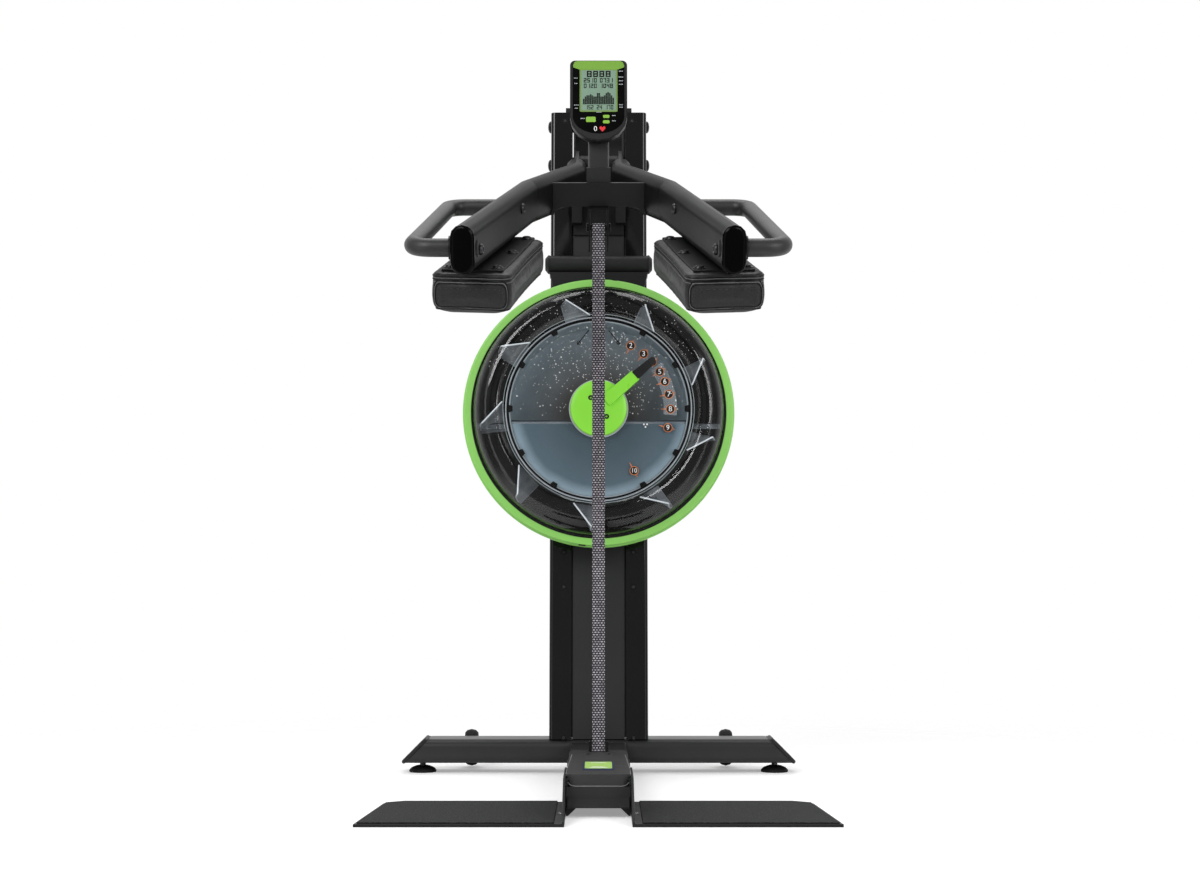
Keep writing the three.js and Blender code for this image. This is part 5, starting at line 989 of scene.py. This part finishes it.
def pad_cushion(side, at):
    """The stuffed pad with two channels pressed in round its sides; returns its surface."""
    pad = stuffed(f"shoulder_pad_cushion_{side}", f"shoulder_pad_{side}", 0.6, 2.5)
    back = at.inverted()
    channels, channel_depth, channel_width = (PAD_TOP - 10, PAD_TOP - 15.5), 1.3, 2.2
    for v in pad.data.vertices:
        local = back @ (v.co / MM)
        depth = sum(channel_depth * math.exp(-((local.z - z) / channel_width) ** 2) for z in channels)
        across, along = abs(local.x / PAD_HALF_WIDTH), abs(local.y / PAD_HALF_LENGTH)
        if max(across, along) >= 0.85:
            push = Vector((math.copysign(depth, local.x) if across > 0.9 else 0,
                           math.copysign(depth, local.y) if along > 0.95 else 0, 0))
            v.co = (at @ (local - push)) * MM
    pad.data.materials.clear()
    pad.data.materials.append(look["vinyl"])
    for face in pad.data.polygons:
        face.use_smooth = True
    cover = skin(pad.data)
    fine = pad.modifiers.new("fine", "SUBSURF")
    fine.levels = fine.render_levels = 1
    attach(pad, "lever")
    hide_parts(f"shoulder_pad_{side}")
    return cover


def pads():
    """Each pad with its piping, pale lines along it as painted highlights, its stitching, and the bolts on
    top of its plate.
    """
    half_x, half_y, end_y = 63, 174, 174
    for side, mirror in SIDES.items():
        at = mirror @ PAD
        back, cover = at.inverted(), pad_cushion(side, at)

        def on_pad(points, gap, lift):
            """The closed loop through points, drawn onto the pad and lifted off it."""
            found = []
            for point in dense(points, gap):
                spot, normal, _, _ = cover.find_nearest((at @ point) * MM)
                found.append(back @ ((spot + normal * lift * MM) / MM))
            return found

        trim, thread = Form(), Form()
        for end in (-end_y, end_y):
            # Pale tubes between the dark piping: painted highlights.
            for inset, thick, key in ((0, 1.3, "piping"), (2.2, 0.8, "piping_highlight"), (4.4, 0.9, "piping")):
                edge = rounded_outline(inset - half_x, half_x - inset, PAD_BOTTOM + inset,
                                       PAD_TOP - 11 - inset, 12, 8)
                loop = on_pad([(x, end, z) for x, z in edge], 5, 0.3)
                trim.add(tube(loop, thick, (0, 1, 0), 8, closed=True), key)
            seam = rounded_outline(-54, 54, PAD_BOTTOM + 3, PAD_TOP - 23, 12, 6)
            stitch(thread, on_pad([(x, end, z) for x, z in seam], 5, 0.3))
        around = rounded_outline(-half_x, half_x, -half_y, half_y, 18, 8)
        # Pale tubes below the dark piping: painted highlights.
        for drop, thick, key in ((4.5, 0.8, "piping"), (7, 0.6, "piping_highlight"),
                                 (10, 1.3, "piping"), (13.5, 0.7, "piping_highlight")):
            loop = on_pad([(x, y, PAD_TOP - drop) for x, y in around], 8, 0.2)
            trim.add(tube(loop, thick, (0, 0, 1), 6, closed=True), key)
        stitch(thread, on_pad([(x, y, PAD_TOP - 16) for x, y in around], 5, 0.25))
        lower = rounded_outline(3 - half_x, half_x - 3, 4 - half_y, half_y - 4, 18, 8)
        loop = on_pad([(x, y, PAD_BOTTOM + 1) for x, y in lower], 8, 0.3)
        trim.add(tube(loop, 1.2, (0, 0, 1), 8, closed=True), "piping")
        piece(f"pad_piping_{side}", trim, at, "lever")
        piece(f"pad_stitching_{side}", thread, at, "lever")

        bolts = Form()
        for y in (-142, 0, 142):
            for x in (-38, 38):
                seat = shift(x, y, 0) @ turn(-90, "X")
                bolts.add(screw(8, 4.5), "bolt", seat)
                bolts.add(washer(10.5, 1.2), "bolt", seat)
        piece(f"pad_bolts_{side}", bolts, at, "lever", bevel=0.2)


# Lever: handles with their collars and bolts
HANDLE_RADIUS = 14.5
HANDLE_LOW = -980
HANDLE_HIGH = -562
ARM_START = (127, 496)
ARM_END = (210, 1000)


def lever_pieces():
    corners = [(187, HANDLE_LOW, 0), (293, HANDLE_LOW, 0), (261, HANDLE_HIGH, 0), (148, HANDLE_HIGH, 0)]
    slope = (ARM_END[0] - ARM_START[0]) / (ARM_END[1] - ARM_START[1])
    facing = turn(math.degrees(math.atan(slope)) - 90, "Z")
    for side, mirror in SIDES.items():
        at = LEVER @ mirror
        handle = Form().add(tube(round_corners(corners, 30, 14), HANDLE_RADIUS, (0, 0, 1), 32), "grip")
        piece(f"handle_tube_{side}", handle, at, "lever", [f"looped_handle_{side}"])
        collars = Form()
        for x, y in ((230, HANDLE_LOW), (163, HANDLE_HIGH)):
            collar = hoop(HANDLE_RADIUS + 0.2, HANDLE_RADIUS + 4, -3, 3, 40)
            collars.add(collar, "steel", shift(x, y, 0) @ turn(90, "Z"))
        piece(f"handle_collars_{side}", collars, at, "lever", bevel=0.6)
        bolts = Form()
        for along, height in ((638, 9.4), (963, -5.3)):
            x = ARM_START[0] + (along - ARM_START[1]) * slope
            bolts.add(screw(9, 5), "bolt", shift(x - 19.2, -along, height) @ facing)
        piece(f"handle_bolts_{side}", bolts, at, "lever", bevel=0.2)


# Strap: the run that shows, its turn round the pin and the loop's end behind it
STRAP_MOUTH = 60
STRAP_HALF = 11.4
PIN_RADIUS = 5
PIN_GAP = 0.3
STRAP_HALF_THICK = 1


def strap_pieces():
    pin = LEVER @ Vector(STRAP_PIN)
    strap_y = pin.y - PIN_RADIUS - PIN_GAP - STRAP_HALF_THICK
    wrap = PIN_RADIUS + PIN_GAP + STRAP_HALF_THICK
    rise, steps, end_y = pin.z - 4 - STRAP_MOUTH, 90, strap_y + 2.3
    path = [Vector((0, strap_y, STRAP_MOUTH + rise * i / steps)) for i in range(steps + 1)]
    path += [pin + Vector((0, y, z)) for y, z in arc(0, 0, wrap, 180, 0, 12)]
    path += [pin + Vector((0, 5, -10)), pin + Vector((0, -2, -26))]
    path += [Vector((0, end_y, pin.z - 34)), Vector((0, end_y, pin.z - 66))]
    half, inner, thick, thin = STRAP_HALF, STRAP_HALF - 0.7, STRAP_HALF_THICK, 0.6
    section = [(-half, -thin), (-inner, -thick), (inner, -thick), (half, -thin),
               (half, thin), (inner, thick), (-inner, thick), (-half, thin)]
    rings = []
    for i, point in enumerate(path):
        before, after = path[max(i - 1, 0)], path[min(i + 1, len(path) - 1)]
        out = (after - before).normalized().cross(Vector((1, 0, 0)))
        rings.append([point + Vector((x, 0, 0)) + out * t for x, t in section])
    run = Form().add(loft(rings), "strap")
    front = piece("strap_front_run", run, Matrix.Identity(4), None, ["drive_strap"])
    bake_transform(front)


# Console face
FACE = -26
PLATE_FRONT = FACE - 0.3
INK_FRONT = FACE - 0.61
INK_BACK = FACE - 0.47


def seven_segments(form, figure, x, z, width, height, thick):
    """One figure of the display in the classic seven strokes."""
    strokes = {"0": "abcdef", "1": "bc", "2": "abged", "3": "abgcd", "4": "fgbc", "5": "afgcd", "6": "afgedc",
               "7": "abc", "8": "abcdefg", "9": "abcdfg"}[figure]
    right, middle, top, gap = x + width, z + height / 2, z + height, 0.15
    bars = {
        "a": (x, right, top - thick, top), "g": (x, right, middle - thick / 2, middle + thick / 2),
        "d": (x, right, z, z + thick), "f": (x, x + thick, middle, top), "e": (x, x + thick, z, middle),
        "b": (right - thick, right, middle, top), "c": (right - thick, right, z, middle),
    }
    for stroke in strokes:
        x0, x1, z0, z1 = bars[stroke]
        form.add(block(x0 + gap, x1 - gap, INK_FRONT, INK_BACK, z0 + gap, z1 - gap), "segment")


def console_pieces():
    half, corner, corner_z, chin = 47, 8, 95.5, 32
    outline = arc(half - corner, corner_z, corner, 0, 90, 6)
    outline += arc(corner - half, corner_z, corner, 90, 180, 6)
    outline += [(x, z * chin / half) for x, z in arc(0, 0, half, 180, 360, 24)]
    plate = Form().add(prism(outline, PLATE_FRONT, FACE - 0.02), "face")
    piece("console_face_plate", plate, CONSOLE, "lever", bevel=0.15)

    prints, front = Form(), PLATE_FRONT
    band = [(-46.6, 95.5), (-44, 101.5), (-39, 103.6), (39, 103.6), (44, 101.5), (46.6, 95.5), (46, 91.5),
            (34, 87.4), (-34, 87.4), (-46, 91.5)]
    heart = [(0, -5.2), (5.4, 1.0), (5.0, 4.0), (2.6, 5.0), (0, 2.8), (-2.6, 5.0), (-5.0, 4.0), (-5.4, 1.0)]
    low_z, height, gap = -23.5, 0.75, 0.7
    prints.add(prism(band, front - 0.15, front), "band")
    prints.add(prism(rounded_outline(-34.4, 34.4, 8.4, 88.2, 2.5), front - 0.1, front), "olive")
    prints.add(letters("0", 9.6), "white", shift(-5.6, front - 0.12, low_z))
    prints.add(prism(heart, front - 0.12, front), "red", shift(7, 0, low_z))
    for x, z, width in ((-41, 71.5, 7), (-41, 61.5, 6), (41, 84.5, 8), (41, 73.5, 9), (41, 66.5, 8),
                        (41, 60, 8), (-40, 21, 9), (-40, 15, 6), (41, 21.5, 7), (41, 17, 7), (1, 8, 10),
                        (-28.5, -4, 8), (28, 1.5, 7), (28, -8.5, 7)):
        for stroke in range(3):
            start = x - width / 2 + width * stroke / 3
            dash = block(start, start + width / 3 - gap, front - 0.08, front, z - height, z + height)
            prints.add(dash, "pale")
    piece("console_prints", prints, CONSOLE, "lever", closed=False)

    screen = Form()
    screen.add(prism(rounded_outline(-31.5, 31.5, 11, 86, 1.2), FACE - 0.55, FACE - 0.31), "screen")
    for i, figure in enumerate("8888"):
        seven_segments(screen, figure, -21.5 + 11.4 * i, 73.2, 9.2, 12, 2.7)
    for figures, z in (("25100731", 63), ("01201048", 52.6)):
        for i, figure in enumerate(figures):
            seven_segments(screen, figure, -27 + 6.2 * i + (4.5 if i > 3 else 0), z, 5.2, 8.6, 1.8)
    for i, height in enumerate((12, 15, 17, 18, 20, 17, 16, 15, 23, 22, 16, 15, 18, 22, 25, 21, 17, 14)):
        x = -28.4 + 3.16 * i
        for level in range(int(height / 2.1)):
            z = 22.4 + 2.1 * level
            screen.add(block(x, x + 2.8, INK_FRONT, INK_BACK, z, z + 1.9), "segment")
    for i, figure in enumerate("15224170"):
        x = -24 + 5.2 * i + (5 if i > 2 else 0) + (5 if i > 4 else 0)
        seven_segments(screen, figure, x, 12.6, 4.4, 8.4, 1.6)
    piece("console_display", screen, CONSOLE, "lever", ["console_screen"], closed=False)


# Base: cover details, levelling feet, strap ears, crossbar lips and screws
COVER_TOP = 66.5
COVER_HALF = 51.5
COVER_FRONT = -694.8
CROSSBAR_TIP = 376.5
PANEL_FRONT = -54


def surface_height(name, x, y):
    """The height of a solid's top at a place in the machine's frame."""
    spot = MACHINE @ Vector((x, y, 1000))
    found, _, _, _ = skin(nodes[name].data).ray_cast(spot * MM, Vector((0, 0, -1)))
    return found.z / MM if found else 5.0


def cover_details():
    """The base's four screws, its plain label, and a pale tube along the cover's front and sides as a painted
    edge highlight.
    """
    lay, screw_y = turn(-90, "X"), -702
    on_top = shift(0, 0, COVER_TOP) @ lay
    details = Form()
    for x in (-19, 19):
        details.add(screw(4.2, 1.6), "ink", shift(x, -353, COVER_TOP) @ lay)
    plate_top = surface_height("footplate_right", 59, screw_y)
    for x in (-59, 59):
        details.add(screw(5, 2.6), "zinc", shift(x, screw_y, plate_top) @ lay)
    details.add(prism(rounded_outline(-25.7, 25.7, -626, -492, 5), -0.9, 0.0), "navy", on_top)
    details.add(prism(rounded_outline(-22.6, 22.6, -608, -499, 4), -1.25, -0.85), "label", on_top)
    for y, width in ((-600, 30), (-588, 22), (-520, 26)):
        details.add(bar(width / 2, -1.5, -1.2, y, y + 5), "white", on_top)
    corner, bend_y = 14.3, COVER_FRONT + 14
    edge = COVER_HALF - 14
    lip = [(-edge - corner + 5, -360, COVER_TOP - 0.4), (-edge - corner + 1, -560, COVER_TOP - 0.6),
           (-edge - corner, bend_y, COVER_TOP - 1)]
    for out, along in arc(0, 0, corner, 0, 90, 6):
        lip.append((-edge - out, bend_y - along, COVER_TOP - 6 - 12.6 * along / corner))
    lip += [(-x, y, z) for x, y, z in reversed(lip)]
    # A pale tube round the cover's front edge: a painted edge highlight.
    details.add(tube(lip, 0.8, (0.1, 0.9, 0.2), 8), "wear_and_edge_highlight")
    piece("cover_label_and_screws", details, MACHINE, "frame")


def levelling_feet():
    pad = [(0, 0), (25.5, 0), (26.5, 2), (26, 4.5), (22, 8.5), (14, 12), (7, 13.5), (0, 13.5)]
    stud = [(0, 13)]
    for i in range(7):
        stud += [(6.0, 13.2 + 1.4 * i), (5.3, 13.9 + 1.4 * i)]
    stud.append((0, 23))
    for word, x in (("left", -340), ("right", 340)):
        at = shift(x, 0, 0) @ turn(90, "X")
        foot = Form().add(lathe(pad, 48, loop=False), "rubber", at)
        foot.add(lathe(stud, 24, loop=False), "zinc", at)
        piece(f"screw_foot_{word}", foot, MACHINE, f"levelling_foot_{word}",
              [f"levelling_foot_{word}"])


def strap_guides():
    """Two black ears beside the strap, where it comes out of the base."""
    ears = Form()
    pin_y = (LEVER @ Vector(STRAP_PIN) - MACHINE.translation).y
    for side in (-1, 1):
        low, high = sorted((side * (STRAP_HALF + 1.4), side * (STRAP_HALF + 6.4)))
        ears.add(prism(rounded_outline(low, high, 64, 85, 2, 4), pin_y - 3, pin_y + 9), "ink")
    piece("strap_guides", ears, MACHINE, "frame", bevel=0.5)


def crossbar_lips():
    """A rounded lip round each slanted end of the rear crossbar."""
    outline = rounded_outline(-47.5, 47.5, 22.5, 63.5, 14, 6)
    lips = Form()
    for side in (-1, 1):
        slanted = [(side * (CROSSBAR_TIP - z + 20), y, z) for y, z in outline]
        lips.add(tube(slanted, 4, (1, 0, 0), 12, closed=True), "plastic")
    piece("crossbar_lips", lips, MACHINE, "frame")


def column_screws():
    """Screws on dark washers up the side panels, and dark rubber strips in their slits as painted shade."""
    screws = Form()
    for z in (64.7, 353.5, 421, 1284):
        for x in (-67, 67):
            screws.add(washer(5.4, 0.5), "dark", shift(x, PANEL_FRONT, z))
            screws.add(screw(3.2, 1.8), "bolt", shift(x, PANEL_FRONT, z))
    piece("panel_screws", screws, COLUMN, "frame", bevel=0.15)
    slit_shade_strips = Form()
    # Dark strips fill the slits so that they read dark: painted shade.
    for side, top in ((-1, 1190), (1, 1296)):
        low, high = sorted((side * 49.6, side * 53.4))
        slit_shade_strips.add(block(low, high, -48.5, -45, 66, top), "rubber")
    piece("panel_slit_shade_strips", slit_shade_strips, COLUMN, "frame")


tank_rim()
tank_cover()
chamber_pieces()
dial_marks()
droplets()
impeller_pieces()
selector_pieces()
pads()
lever_pieces()
strap_pieces()
console_pieces()
cover_details()
levelling_feet()
strap_guides()
crossbar_lips()
column_screws()
